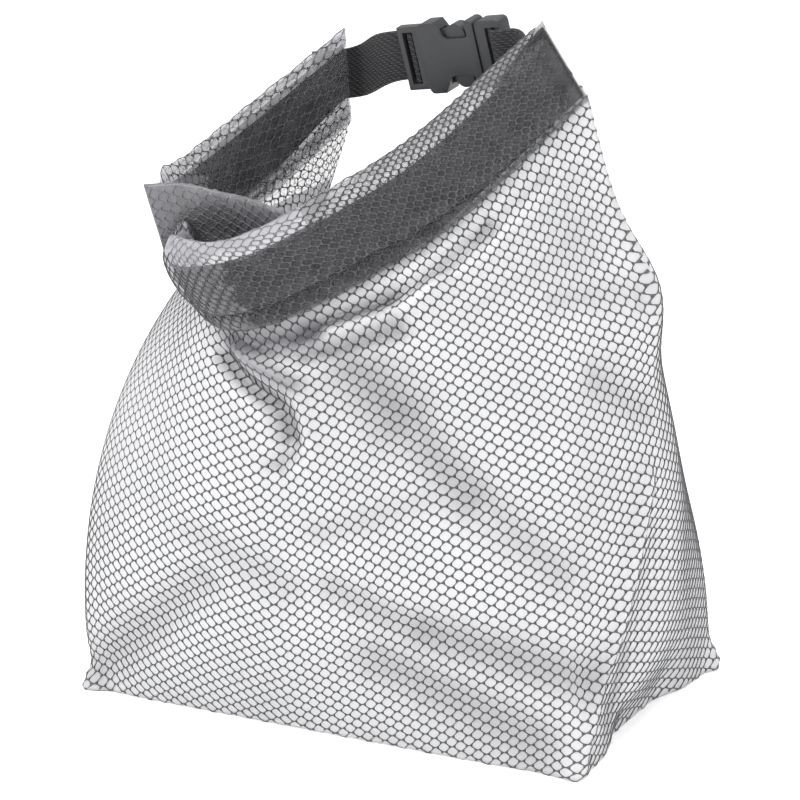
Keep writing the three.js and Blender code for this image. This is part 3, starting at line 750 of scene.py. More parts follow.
def net_piece(name, middles, lift, thread_width, thread, shows=1.0):
    """Net cells as one mesh, lifted to points and outward directions of the film.

    shows says how much of the thread stands out of the film, in all or for each cell.
    """
    shows = np.broadcast_to(shows, len(middles))
    corner_places = middles[:, None, :] + cell_corners()
    drawn_in = 1 - thread_width * shows[:, None, None]
    rim_places = middles[:, None, :] + drawn_in * cell_hole(cell_corners())
    corner_points, corner_out = lift(corner_places.reshape(-1, 2))
    rim_points, rim_out = lift(rim_places.reshape(-1, 2))
    ridge = corner_points + corner_out * THREAD_HEIGHT * np.repeat(shows, SIDES)[:, None]
    back = corner_points + corner_out * THREAD_CLEAR
    hole = rim_points + rim_out * THREAD_CLEAR * 2
    piece = new_piece(name, np.concatenate([ridge, back, hole]), cell_faces(len(middles)))
    apply_modifier(piece, "WELD", merge_threshold=WELD_REACH * MM)
    piece.data.materials.append(thread)
    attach(piece, "root")
    print(name + ":", len(middles), "cells,", triangles(piece), "triangles")


# %% A surface to lift the net onto
JUST_INSIDE = 1.001


class LiftTable:
    """A surface as a table of points, read between its rows and columns."""

    def __init__(self, points, first, step):
        self.points, self.first, self.step = points, np.array(first), np.array(step)
        down, across = np.gradient(points, axis=0), np.gradient(points, axis=1)
        self.out = unit(np.cross(across, down))

    def __call__(self, places):
        at = (places - self.first) / self.step
        limit = np.array(self.points.shape[:2]) - JUST_INSIDE
        at = np.clip(at, 0, limit)
        low = np.floor(at).astype(int)
        share = at - low
        points, out = np.zeros((len(at), 3)), np.zeros((len(at), 3))
        for i in (0, 1):
            for j in (0, 1):
                weight = (share[:, 0] if i else 1 - share[:, 0]) * (share[:, 1] if j else 1 - share[:, 1])
                index = (low[:, 0] + i, low[:, 1] + j)
                points += weight[:, None] * self.points[index]
                out += weight[:, None] * self.out[index]
        return points, unit(out)


# %% Table of the body's film
SEAM_ROUND = 390.0
UNDER_BASE = 3.0
HEIGHT_SAMPLES = 161
BEYOND_LEVEL = 180.0


def wall_rows(surface, around):
    """Rows of a wall's surface, from a little under the base to the neck and straight on beyond it."""
    rows = [surface(around, np.full_like(around, height)) for height in np.linspace(0, 1, HEIGHT_SAMPLES)]
    inward = rows[0] * (1 - UNDER_BASE / (BASE_DEPTH / 2))
    neck = [neck_point(around, np.full_like(around, level)) for level in (TUCK_LEVEL, BEYOND_LEVEL)]
    return np.stack([inward] + rows + neck, axis=1)


def body_table():
    """The body's film as a table: a column for each millimetre of girth, a row for each of its wall.

    Lengths up the wall are taken before its folds, so that a fold doesn't shear the cells of the net.
    """
    around = SEAM_ROUND - GIRTH + np.arange(int(GIRTH) + 1.0)
    stack = wall_rows(wall_point, around)
    unfolded = wall_rows(smooth_wall, around)
    lengths = np.zeros(stack.shape[:2])
    lengths[:, 1:] = np.cumsum(np.linalg.norm(np.diff(unfolded, axis=1), axis=2), axis=1)
    lengths -= lengths[:, 1:2]
    tall = np.arange(-UNDER_BASE, lengths[:, -2].max() + 1)
    table = np.empty((len(around), len(tall), 3))
    for column in range(len(around)):
        for axis in range(3):
            table[column, :, axis] = np.interp(tall, lengths[column], stack[column, :, axis])
    return LiftTable(table, (around[0], tall[0]), (1.0, 1.0)), around, lengths[:, -2]


body_lift, body_round, body_length = body_table()
print("wall from the base into the roll, mm:", body_length.min().round(), "to", body_length.max().round())

# %% [markdown]
# ### How the net lies in the film
#
# The tube is gathered towards the roll, and its net with it, so cells are closer in some places and
# their rows run higher in others. On the side wall less of the thread shows. A cloth solver could find
# how a net gathers, but a short table round the girth follows the real bag more closely.

# %% How the net lies in the film
# Place round the girth, millimetres of net for each of girth, how much higher its rows run, and the share of
# its thread that stands out
NET_LIE = np.array([
    [-130, 1, -9, 1],
    [-45, 1, -9, 1],
    [-20, 0.75, -9, 1],
    [0, 0.62, -7, 1],
    [35, 0.72, -3, 1],
    [52, 0.84, 0, 1],
    [68, 1, 0, 1],
    [110, 0.95, 0, 1],
    [140, 1, 0, 1],
    [200, 1.15, 22, 0.5],
    [230, 1, 22, 0.45],
    [300, 1, 22, 1],
    [340, 1, 22, 1],
    [390, 1, 22, 1],
])
# Near the roll the film is stretched flat again, and the net with it: from a place round the girth to the
# far side of the gusset, more and more between two heights
EVEN_FROM, EVEN_END = 68.0, -120.0
EVEN_LOW, EVEN_HIGH = 60.0, 170.0
net_density = np.interp(body_round, NET_LIE[:, 0], NET_LIE[:, 1])
net_across = np.concatenate([[0.0], np.cumsum((net_density[1:] + net_density[:-1]) / 2)])


def film_places(places):
    """Places round and up the film for places in the flat net."""
    gathered = np.interp(places[:, 0], net_across, body_round)
    even = np.minimum(EVEN_FROM, EVEN_FROM + places[:, 0] - np.interp(EVEN_FROM, body_round, net_across))
    rising = smooth_step((places[:, 1] - EVEN_LOW) / (EVEN_HIGH - EVEN_LOW))
    on_front = smooth_step((gathered - EVEN_END) / -EVEN_END) * (gathered < EVEN_FROM)
    girth = gathered + (even - gathered) * rising * on_front
    return np.stack([girth, places[:, 1] + np.interp(girth, NET_LIE[:, 0], NET_LIE[:, 2])], axis=-1)


def lift_net(places):
    return body_lift(film_places(places))


print("net round the girth, mm:", net_across[-1].round())

# %% Net of the body
SEAM_MARGIN, FOOT_MARGIN, ROLL_MARGIN = 2.0, 2.0, 1.0
FRONT_FROM, FRONT_TO = -30.0, 225.0
SUNK_LOW, SUNK_HIGH = 40.0, 95.0
lowest_row = -NET_LIE[:, 2].max() - FOOT_MARGIN
highest_row = body_length.max() - NET_LIE[:, 2].min()
wall_cells = lattice((0.0, lowest_row), (net_across[-1], highest_row))
cell_girth, cell_height = film_places(wall_cells).T
from_seam = np.minimum(cell_girth - body_round[0], body_round[-1] - cell_girth)
below_roll = cell_height < np.interp(cell_girth, body_round, body_length) - ROLL_MARGIN
kept = (from_seam > SEAM_MARGIN) & (cell_height > -FOOT_MARGIN) & below_roll
wall_cells, cell_girth, cell_height = wall_cells[kept], cell_girth[kept], cell_height[kept]
sunk = 1 - np.interp(cell_girth, NET_LIE[:, 0], NET_LIE[:, 3])
cell_shows = 1 - sunk * smooth_step((cell_height - SUNK_LOW) / (SUNK_HIGH - SUNK_LOW))
in_front = (cell_girth > FRONT_FROM) & (cell_girth < FRONT_TO)
for net_name, here in (("front_net", in_front), ("back_net", ~in_front)):
    net_piece(net_name, wall_cells[here], lift_net, WALL_THREAD, wall_thread, cell_shows[here])

# %% [markdown]
# ## The roll
#
# The mouth of the tube is folded over a flat band of webbing. Its section is drawn once: from the bottom
# fold, where a second turn shows under the first, up the outer face, over the hem and down the inner
# face. Cloth could be rolled up in a simulation, but a section that is carried along a strip holds the
# pose exactly. On its way it hangs lower at the front end, where it is also pressed flat, and is
# squeezed down at the bend. Each zone of it has the film that shows there, from clear on the band to
# crumpled at the bend.
# A stretch of the hem before the bend gets a lighter film and thread: a painted highlight.

# %% Section of the roll
# Places of the section: how far out of the strip, level up the roll, share of the step at the second turn
ROLL_SECTION = np.array([
    [2.0, 1.2, 0],
    [2.8, -0.2, 0],
    [4.3, 0.2, 0],
    [4.9, 1.2, 0.4],
    [5.0, 1.5, 1],
    [5.6, 1.2, 1],
    [6.2, 2.4, 1],
    [6.4, 8, 0],
    [6.3, 15, 0],
    [5.2, 20.5, 0],
    [2.2, 24.6, 0],
    [0.2, 26.2, 0],
    [-1.5, 23.5, 0],
    [-2.0, 19.5, 0],
    [-1.9, 10, 0],
    [-1.7, -0.5, 0],
])
SECTION_SAMPLES = 61
STEP_RISE = 3.6
STEP_FULL_AT = 0.42
FRONT_SAG, SAG_OVER = 2.0, 0.4


def front_sag(share):
    """How far the lower edge of the roll hangs below the strip, towards the front end."""
    return FRONT_SAG * (1 - smooth_step(share / SAG_OVER))


def section_at(share):
    """The section at one share of the strip, evenly spaced along its own length, and that length."""
    places = ROLL_SECTION[:, :2].copy()
    places[:, 1] += ROLL_SECTION[:, 2] * STEP_RISE * smooth_step(share / STEP_FULL_AT)
    places[:, 1] -= front_sag(share) * (1 - places[:, 1] / ROLL_HEIGHT)
    knots = chord_knots(places)
    return through_points(knots, places, np.linspace(0, knots[-1], SECTION_SAMPLES)), knots[-1]


print("length of the section at the front end, mm:", section_at(0.0)[1].round(1))

# %% Squeeze at the bend and edges of the band
# The dip at the bend: its depth, where it starts, is deepest and is over, and up to where the roll is firm
BEND_DIP = 14.5
DIP_FROM, DIP_FULL, DIP_OVER = 0.52, 0.69, 0.727
FIRM_LEVEL = 5.0
# Edges of the webbing band, and their shifts: how far, from which share of the strip and over which share
BAND_BOTTOM, BAND_TOP = 2.0, 24.2
LOWERED, LOWERED_FROM, LOWERED_TO, LOWERED_OVER = 1.3, 0.15, 0.5, (0.15, 0.1)
REAR_LIFT, REAR_LIFT_FROM, REAR_LIFT_OVER = 4.0, 0.85, 0.15
FRONT_TALLER, FRONT_TALLER_OVER = 5.0, 0.11
BEND_TALLER, BEND_TALLER_FROM, BEND_TALLER_OVER = 2.4, 0.55, 0.15


def pressed(share, level):
    """Levels of the section, pressed down at the bend, where the outer turn of the roll gives way."""
    falling = smooth_step((share - DIP_FROM) / (DIP_FULL - DIP_FROM))
    rising = smooth_step((share - DIP_FULL) / (DIP_OVER - DIP_FULL))
    squeeze = 1 - BEND_DIP * falling * (1 - rising) / (ROLL_HEIGHT - FIRM_LEVEL)
    return np.where(level > FIRM_LEVEL, FIRM_LEVEL + (level - FIRM_LEVEL) * squeeze, level)


def band_limits(share):
    """Lower and upper level of the band. It reaches lower in the front leg, and lies higher at both ends."""
    lowered = smooth_step((share - LOWERED_FROM) / LOWERED_OVER[0])
    lowered = lowered * (1 - smooth_step((share - LOWERED_TO) / LOWERED_OVER[1]))
    lifted = smooth_step((share - REAR_LIFT_FROM) / REAR_LIFT_OVER)
    past_front = smooth_step(share / FRONT_TALLER_OVER)
    past_bend = smooth_step((share - BEND_TALLER_FROM) / BEND_TALLER_OVER)
    bottom = BAND_BOTTOM - front_sag(share) - LOWERED * lowered + REAR_LIFT * lifted
    return bottom, BAND_TOP - FRONT_TALLER * past_front + BEND_TALLER * past_bend


print("edges of the band at both ends, mm:", [np.round(band_limits(end), 1).tolist() for end in (0.0, 1.0)])

# %% Table and zones of the roll
ROLL_SAMPLES = 229
SECTION_MIDDLE = 2.4
END_PRESS = 5.0
END_OPEN = 0.16
CLEAR, HEM, HEM_HIGHLIGHT, HAZED, CRUMPLED = range(5)
# Middle and half length, in shares of the strip, of the hem's painted highlight: a lighter film
HEM_HIGHLIGHT_AT, HEM_HIGHLIGHT_HALF = 0.49, 0.1
REAR_FROM = 0.7
BEND_AT = 0.635
BEND_HAZE = 0.14
BEND_CRUMPLED = 0.055
BEND_WAVE = 0.006


def roll_table():
    """The roll's film as a table of points: along the strip, then along the section."""
    share = np.linspace(0, 1, ROLL_SAMPLES)
    sections, lengths = zip(*[section_at(place) for place in share])
    section = np.array(sections)
    path = np.linspace(0, np.mean(lengths), SECTION_SAMPLES)
    from_front = share * ROLL_LENGTH
    press = END_OPEN + (1 - END_OPEN) * np.sqrt(1 - np.clip(1 - from_front / END_PRESS, 0, 1)**2)
    across = SECTION_MIDDLE + (section[..., 0] - SECTION_MIDDLE) * press[:, None]
    level = section[..., 1]
    spread = np.repeat(share[:, None], SECTION_SAMPLES, axis=1)
    bottom, top = band_limits(spread)
    off_band = (level > top) | ((level < bottom) & (spread > REAR_FROM))
    from_bend = np.abs(spread - BEND_AT) + BEND_WAVE * np.sin(level)
    zone = np.where(off_band, HEM, np.where(from_bend < BEND_HAZE, HAZED, CLEAR))
    # Painted highlight: this stretch of the hem gets the lighter film
    zone = np.where(off_band & (np.abs(spread - HEM_HIGHLIGHT_AT) < HEM_HIGHLIGHT_HALF), HEM_HIGHLIGHT, zone)
    zone = np.where(from_bend < BEND_CRUMPLED, CRUMPLED, zone)
    return on_strip(spread, across, pressed(spread, level)), zone, path, from_front


roll_points, roll_zone, roll_path, roll_run = roll_table()
print("film round the roll, mm:", roll_path[-1].round(1))
print("points of the roll in each zone:", np.bincount(roll_zone.ravel()).tolist())


# %% Film of the roll
def roll_film():
    rows, columns = roll_points.shape[:2]
    piece = new_piece("roll_film", roll_points.reshape(-1, 3), grid_faces(rows, columns).tolist())
    for film in (clear_film, hem_film, hem_highlight_film, hazed_film, crumpled_film):
        piece.data.materials.append(film)
    piece.data.polygons.foreach_set("material_index", roll_zone[:-1, :-1].ravel().astype(np.int32))
    apply_modifier(piece, "SOLIDIFY", thickness=FILM_THICK * MM, offset=-1.0)
    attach(piece, "root")
    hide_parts("rolled_top")
    print("roll film:", triangles(piece), "triangles")


roll_film()

# %% Net of the roll
# Where the net starts, how far it stops short of the end and the edge, and where the hem lies in the section
NET_FROM = (3.0, 3.0)
END_BARE, EDGE_BARE = 1.0, 2.0
HEM_PATH = 0.44
# The layer below: its shift, and how far it reaches along the strip and along the section
SECOND_LAYER = (COLUMN_STEP + CELL_STEP) / 2
SECOND_END, SECOND_PATH = 0.56, 0.56
HEM_SINGLE_FROM = 0.3


def roll_net_cells():
    """Cells of the roll's net: one layer, left out on the crumpled hem, and a second in the front leg."""
    outer = lattice(NET_FROM, (ROLL_LENGTH - END_BARE, roll_path[-1] - EDGE_BARE))
    at_bend = np.abs(outer[:, 0] / ROLL_LENGTH - BEND_AT) < BEND_CRUMPLED
    outer = outer[~(at_bend & (outer[:, 1] > HEM_PATH * roll_path[-1]))]
    below = lattice(NET_FROM, (SECOND_END * ROLL_LENGTH, SECOND_PATH * roll_path[-1])) + SECOND_LAYER
    single = (below[:, 0] > HEM_SINGLE_FROM * ROLL_LENGTH) & (below[:, 1] > HEM_PATH * roll_path[-1])
    return np.concatenate([outer, below[~single]])


roll_cells = roll_net_cells()
roll_step = (roll_run[1] - roll_run[0], roll_path[1] - roll_path[0])
roll_lift = LiftTable(roll_points, (0.0, 0.0), roll_step)
nearest = np.minimum(np.round(roll_cells / roll_step).astype(int), np.array(roll_zone.shape) - 1)
cell_zone = roll_zone[nearest[:, 0], nearest[:, 1]]
on_band, on_hem_highlight = cell_zone == CLEAR, cell_zone == HEM_HIGHLIGHT
ROLL_NETS = (
    ("band_net", on_band, band_thread),
    # The hem's painted highlight gets the paler thread
    ("hem_highlight_net", on_hem_highlight, fold_thread),
    ("hem_net", ~on_band & ~on_hem_highlight, roll_thread),
)
for net_name, here, thread in ROLL_NETS:
    net_piece(net_name, roll_cells[here], roll_lift, ROLL_THREAD, thread)

# %% [markdown]
# ## Webbing in the roll
#
# The band is a flat strip with rounded edges that runs inside the roll from end to end. An Array and a
# Curve modifier could bend a strip, but they would twist it at the bend. Here its section follows the
# strip of the roll.

# %% Webbing helpers
EDGE_STEPS = 4
WEBBING_SMOOTH = math.radians(50)


def strap_section(width, thickness):
    """A flat section with round edges: pairs of across and through, and the way round it for the weave."""
    half, radius = width / 2 - thickness / 2, thickness / 2
    angles = np.linspace(-math.pi / 2, math.pi / 2, EDGE_STEPS * 2 + 1)
    right = np.stack([half + radius * np.cos(angles), radius * np.sin(angles)], axis=-1)
    section = np.concatenate([right, -right])
    return section, chord_knots(np.concatenate([section, section[:1]]))


def woven_piece(name, points, run, section, weave_across, material):
    """A closed band from points along its run and round its section, with its weave in millimetres."""
    rows, columns = points.shape[:2]
    faces = grid_faces(rows, columns, closed=True).tolist()
    uv = grid_uv(run, weave_across).tolist()
    last = (rows - 1) * columns
    faces += [list(range(columns))[::-1], list(range(last, last + columns))]
    uv += section[::-1].tolist() + section.tolist()
    piece = new_piece(name, points.reshape(-1, 3), faces, uv)
    select_only(piece)
    bpy.ops.object.mode_set(mode="EDIT")
    bpy.ops.mesh.select_all(action="SELECT")
    bpy.ops.mesh.normals_make_consistent(inside=False)
    bpy.ops.object.mode_set(mode="OBJECT")
    bpy.ops.object.shade_smooth_by_angle(angle=WEBBING_SMOOTH)
    piece.data.materials.append(material)
    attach(piece, "root")
    print(name + ":", triangles(piece), "triangles")
    return piece


# %% Band in the roll
BAND_WIDTH = 18.0
BAND_THICK = 1.8
BAND_OUT = 3.4
FRONT_INSET, REAR_INSET = 0.4, 0.5


def roll_band():
    section, weave_across = strap_section(BAND_WIDTH, BAND_THICK)
    share = np.linspace(FRONT_INSET / ROLL_LENGTH, 1 - REAR_INSET / ROLL_LENGTH, ROLL_SAMPLES)
    bottom, top = band_limits(share)
    level = (bottom + top)[:, None] / 2 + section[None, :, 0] / BAND_WIDTH * (top - bottom)[:, None]
    spread = np.repeat(share[:, None], len(section), axis=1)
    points = on_strip(spread, BAND_OUT + np.broadcast_to(section[:, 1], level.shape), pressed(spread, level))
    piece = woven_piece("roll_band", points, share * ROLL_LENGTH, section, weave_across, band_webbing)
    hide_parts("roll_webbing")


roll_band()

# %% [markdown]
# ## Fold across the bend
#
# Where the roll is bent, its inner turn can't follow the outer one. It stands up behind it as a sheet
# with a folded upper edge, and a pocket opens between the two. The sheet could be sculpted, but two
# short tables say it all: the line of its edge, and a section from that edge down into the roll. Its hem
# is grey film with net on it, and below that the veiled webbing shows.

# %% Fold across the bend
# The folded edge, x y z, from the corner at the left to the front leg of the roll
FOLD_EDGE = np.array([
    [-74.5, -20.7, 148.8],
    [-63, -19.5, 150.2],
    [-50.5, -19.5, 149.2],
    [-37.5, -23.5, 149.3],
    [-24, -28, 148.0],
])
# Section of the sheet: backwards from the edge, down from it, and how much of the pocket's depth is added
FOLD_SECTION = np.array([
    [2.6, 7.0, 0.2],
    [1.8, 1.6, 0.1],
    [0.8, 0.2, 0],
    [0, 0.5, 0],
    [0, 3, 0.1],
    [1.0, 8, 0.5],
    [3.0, 15, 1.0],
    [4.0, 22, 1.0],
])
FOLD_DOWN = np.array([0.3, 0.0, -1.0])
FOLD_BACK = np.array([-0.45, 0.9, 0.0])
POCKET_DEPTH = 4.0
FOLD_ALONG = 113
FOLD_DEEP = 81
# Places of the section where its net starts and where its edge lies, and the bare margin of the net
NET_START, FOLDED_AT = 2, 3
FOLD_MARGIN = 2.0
# How deep the grey hem reaches, at shares of the edge's length
HEM_REACH_AT = np.array([0.0, 0.12, 0.25, 0.5, 0.62, 0.72])
HEM_REACH = np.array([17.0, 12.0, 7.5, 4.2, 7.0, 22.0])


def bend_fold():
    edge_knots = chord_knots(FOLD_EDGE)
    run = np.linspace(0, edge_knots[-1], FOLD_ALONG)
    edge = through_points(edge_knots, FOLD_EDGE, run)
    section_knots = chord_knots(FOLD_SECTION[:, :2])
    path = np.linspace(0, section_knots[-1], FOLD_DEEP)
    back, down, hollow = through_points(section_knots, FOLD_SECTION, path).T
    depth = POCKET_DEPTH * np.sin(math.pi * run / run[-1])
    back = back[None, :] + hollow[None, :] * depth[:, None]
    points = edge[:, None] + back[..., None] * FOLD_BACK + down[None, :, None] * FOLD_DOWN
    faces = grid_faces(FOLD_ALONG, FOLD_DEEP).tolist()
    piece = new_piece("bend_fold", points.reshape(-1, 3), faces, grid_uv(run, path))
    reach = np.interp(run[:-1] / run[-1], HEM_REACH_AT, HEM_REACH)
    dark = (down[None, :-1] > reach[:, None]) & (path[None, :-1] > section_knots[FOLDED_AT])
    piece.data.materials.append(folded_film)
    piece.data.materials.append(pocket_webbing)
    piece.data.polygons.foreach_set("material_index", dark.ravel().astype(np.int32))
    apply_modifier(piece, "SOLIDIFY", thickness=FILM_THICK * MM, offset=-1.0)
    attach(piece, "root")
    print("bend fold:", triangles(piece), "triangles")
    lift = LiftTable(points, (0.0, 0.0), (run[1], path[1]))
    first_cell = (FOLD_MARGIN, section_knots[NET_START])
    cells = lattice(first_cell, (run[-1] - FOLD_MARGIN, path[-1] - FOLD_MARGIN))
    net_piece("bend_net", cells, lift, ROLL_THREAD, fold_thread)


bend_fold()

# %% [markdown]
# ## Buckle
#
# A side-release buckle has a hollow socket and a half with two springy prongs. Both are moulded, so they
# start as blocks of the right size, get their notches and slots cut, and then have every edge rounded by
# a Bevel modifier. An outline could be extruded instead, but with blocks each size is a number of its
# own. They are modelled flat, with x along the strap, and turned into place at the end.

# %% Places and sizes of the buckle
BUCKLE_CENTRE = np.array([11.5, 12, 189.5])
BUCKLE_HEADING = math.radians(-7)
BUCKLE_RISE = math.radians(10)
BUCKLE_UPRIGHT = np.array([-0.2, -0.12, 0.97])
BUCKLE_WIDTH = 21.0
SOCKET_LENGTH = 19.0
SOCKET_THICK = 6.5
LADDER_LENGTH = 8.2
LADDER_WIDTH = 19.0
LADDER_THICK = 3.2
BAR_WIDTH = 1.6
PRONG_BASE_LENGTH = 8.4
PRONG_BASE_WIDTH = 20.0
PRONG_BASE_THICK = 5.6
PRONG_THICK = 3.2
PRONG_WIDTH = 3.4
PRONG_REACH = 15.0
TONGUE_WIDTH = 4.0
MOUTH_WIDTH = 16.4
NOTCH_START = 2.5
NOTCH_LENGTH = 11.0
NOTCH_DEPTH = 5.0
NOTCH_SLOPE = 3.0
TAB_RADIUS = 3.2
STRAP_SLOT = 3.4
STRAP_WIDTH = 15.0
GAP = 0.3

buckle_along = np.array([
    math.cos(BUCKLE_HEADING) * math.cos(BUCKLE_RISE),
    math.sin(BUCKLE_HEADING) * math.cos(BUCKLE_RISE),
    math.sin(BUCKLE_RISE),
])
buckle_out = unit(np.cross(buckle_along, BUCKLE_UPRIGHT))
buckle_across = np.cross(buckle_out, buckle_along)
BUCKLE_AXES = np.stack([buckle_along, buckle_across, buckle_out], axis=1)
buckle_place = Matrix.Translation(BUCKLE_CENTRE * MM) @ Matrix(BUCKLE_AXES.tolist()).to_4x4()

JOINT_AT = SOCKET_LENGTH / 2
SOCKET_START = -SOCKET_LENGTH / 2
LADDER_START = SOCKET_START - LADDER_LENGTH
PRONG_BASE_START = JOINT_AT + GAP
PRONG_BASE_END = PRONG_BASE_START + PRONG_BASE_LENGTH
LADDER_SLOT_AT = LADDER_START + BAR_WIDTH + STRAP_SLOT / 2
PRONG_SLOT_AT = PRONG_BASE_END - BAR_WIDTH - STRAP_SLOT / 2
print("length of the closed buckle, mm:", round(PRONG_BASE_END - LADDER_START, 1))

# %% Buckle helpers
UPRIGHT = 0.99
CORNER_SEGMENTS = 5
SHARP_ABOVE, SMOOTH_BELOW = math.radians(40), math.radians(35)
# Blocks that are joined reach into each other by this much, and blocks that cut stand out by it
OVERLAP = 1.0
# A block that cuts right through is this many times as thick
THROUGH = 3


def block(name, x_range, y_range, z_range):
    """A cube primitive stretched between three ranges in millimetres."""
    deselect_all()
    ranges = np.array([x_range, y_range, z_range]) * MM
    bpy.ops.mesh.primitive_cube_add(size=1, location=ranges.mean(axis=1))
    piece = bpy.context.object
    piece.name = name
    piece.scale = ranges[:, 1] - ranges[:, 0]
    bpy.ops.object.transform_apply(location=True, rotation=False, scale=True)
    return piece


def centred(size):
    return (-size / 2, size / 2)


def round_upright_edges(piece, radius):
    """Rounds the edges that stand along z, as the outline of a moulding is rounded."""
    select_only(piece)
    bpy.ops.object.mode_set(mode="EDIT")
    bpy.ops.mesh.select_mode(type="EDGE")
    bpy.ops.mesh.select_all(action="DESELECT")
    bpy.ops.object.mode_set(mode="OBJECT")
    for edge in piece.data.edges:
        start, end = (piece.data.vertices[index].co for index in edge.vertices)
        way = (end - start).normalized()
        edge.select = abs(way.z) > UPRIGHT
    bpy.ops.object.mode_set(mode="EDIT")
    bpy.ops.mesh.bevel(offset=radius * MM, segments=CORNER_SEGMENTS)
    bpy.ops.object.mode_set(mode="OBJECT")


def combine(piece, other, operation):
    """Joins another block to a piece or cuts it out, and removes the other."""
    apply_modifier(piece, "BOOLEAN", operation=operation, object=other, solver="EXACT")
    bpy.data.objects.remove(other)


def cut_strap_slot(piece, middle, thickness):
    """Cuts the slot for a strap through a frame."""
    x_range = (middle - STRAP_SLOT / 2, middle + STRAP_SLOT / 2)
    slot = block("slot", x_range, centred(STRAP_WIDTH + 2 * GAP), centred(THROUGH * thickness))
    combine(piece, slot, "DIFFERENCE")


def finish_buckle_half(piece, edge_round, node):
    """Rounds all sharp edges and turns the half into its place."""
    edges = {"segments": 3, "limit_method": "ANGLE", "angle_limit": SHARP_ABOVE}
    apply_modifier(piece, "BEVEL", width=edge_round * MM, **edges)
    piece.data.transform(buckle_place)
    select_only(piece)
    bpy.ops.object.shade_smooth_by_angle(angle=SMOOTH_BELOW)
    piece.data.materials.clear()
    piece.data.materials.append(acetal)
    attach(piece, "root")
    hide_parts(node)
    print(piece.name + ":", triangles(piece), "triangles")


# %% Socket half
SOCKET_CORNER = 1.6
NOTCH_CORNER = 1.2
EDGE_ROUND = 0.55


def buckle_socket():
    socket = block("socket_body", (SOCKET_START, JOINT_AT), centred(BUCKLE_WIDTH), centred(SOCKET_THICK))
    round_upright_edges(socket, SOCKET_CORNER)
    notch_end = JOINT_AT - NOTCH_START
    for sign in (-1, 1):
        deep = sign * (BUCKLE_WIDTH / 2 - NOTCH_DEPTH)
        x_range = (notch_end - NOTCH_LENGTH + NOTCH_SLOPE, notch_end)
        y_range = sorted((deep, sign * BUCKLE_WIDTH))
        notch = block("notch", x_range, y_range, centred(THROUGH * SOCKET_THICK))
        for vertex in notch.data.vertices:
            outer = abs(vertex.co.y) > BUCKLE_WIDTH / 2 * MM
            if outer and vertex.co.x < (notch_end - NOTCH_LENGTH / 2) * MM:
                vertex.co.x -= NOTCH_SLOPE * (BUCKLE_WIDTH / 2 + NOTCH_DEPTH) / NOTCH_DEPTH * MM
        round_upright_edges(notch, NOTCH_CORNER)
        combine(socket, notch, "DIFFERENCE")
    mouth_x = (JOINT_AT - PRONG_REACH - OVERLAP, JOINT_AT + OVERLAP)
    mouth = block("mouth", mouth_x, centred(MOUTH_WIDTH), centred(PRONG_THICK + 2 * GAP))
    combine(socket, mouth, "DIFFERENCE")
    ladder_x = (LADDER_START, SOCKET_START + OVERLAP)
    ladder = block("ladder", ladder_x, centred(LADDER_WIDTH), centred(LADDER_THICK))
    cut_strap_slot(ladder, LADDER_SLOT_AT, LADDER_THICK)
    combine(socket, ladder, "UNION")
    finish_buckle_half(socket, EDGE_ROUND, "buckle_socket")


buckle_socket()

# %% Prong half
PRONG_EDGE_ROUND = 0.385
TAB_SIDES = 32
# A tab is this much thicker than its prong, and sits this far behind the middle of the notch
TAB_EXTRA, TAB_BACK = 1.0, 0.5


def buckle_prongs():
    base_x = (PRONG_BASE_START, PRONG_BASE_END)
    prongs = block("prong_body", base_x, centred(PRONG_BASE_WIDTH), centred(PRONG_BASE_THICK))
    round_upright_edges(prongs, SOCKET_CORNER)
    cut_strap_slot(prongs, PRONG_SLOT_AT, PRONG_BASE_THICK)
    reach = (JOINT_AT - PRONG_REACH, PRONG_BASE_START + OVERLAP)
    combine(prongs, block("tongue", reach, centred(TONGUE_WIDTH), centred(PRONG_THICK)), "UNION")
    outer = MOUTH_WIDTH / 2 - GAP
    tab_at = JOINT_AT - NOTCH_START - (NOTCH_LENGTH - NOTCH_SLOPE) / 2 - TAB_BACK
    for sign in (-1, 1):
        y_range = sorted((sign * outer, sign * (outer - PRONG_WIDTH)))
        combine(prongs, block("prong", reach, y_range, centred(PRONG_THICK)), "UNION")
        deselect_all()
        tab_place = np.array([tab_at, sign * (outer - TAB_RADIUS / 2), 0]) * MM
        tab_depth = (PRONG_THICK + TAB_EXTRA) * MM
        bpy.ops.mesh.primitive_cylinder_add(
            vertices=TAB_SIDES, radius=TAB_RADIUS * MM, depth=tab_depth, location=tab_place)
        tab = bpy.context.object
        bpy.ops.object.transform_apply(location=True, rotation=True, scale=True)
        combine(prongs, tab, "UNION")
    finish_buckle_half(prongs, PRONG_EDGE_ROUND, "buckle_prongs")


buckle_prongs()

# %% [markdown]
# ## Straps
#
# The rear strap comes out of the band and passes behind the bar of the ladder. The front strap is fixed
# behind the hem and passes over the front of the prong half's bar. Both then turn into the slot beside
# the bar. A strap could be a Curve with a bevel, but its twist would be hard to hold. Here each strap is
# a line of places with the way its width lies at each of them.

# %% Strap helpers
STRAP_THICK = 1.4
STRAP_LEAD = 5.0
TUCK_LENGTH = 2.4
STRAP_SAMPLES = 61


def on_buckle(x, y, z):
    return BUCKLE_CENTRE + BUCKLE_AXES @ np.array([x, y, z])


def tucked_end(bar_edge, inward, face, thickness):
    """Places of a strap's end past a bar, on its front or its back face, and into the slot."""
    clear = thickness / 2 + GAP + STRAP_THICK / 2
    middle = STRAP_SLOT / 2
    route = [
        (-BAR_WIDTH - STRAP_LEAD, clear),
        (GAP, clear + GAP / 2),
        (middle, clear - STRAP_THICK),
        (middle + GAP, clear - STRAP_THICK - TUCK_LENGTH),
    ]
    return [(on_buckle(bar_edge + inward * into, 0, face * off), buckle_across) for into, off in route]


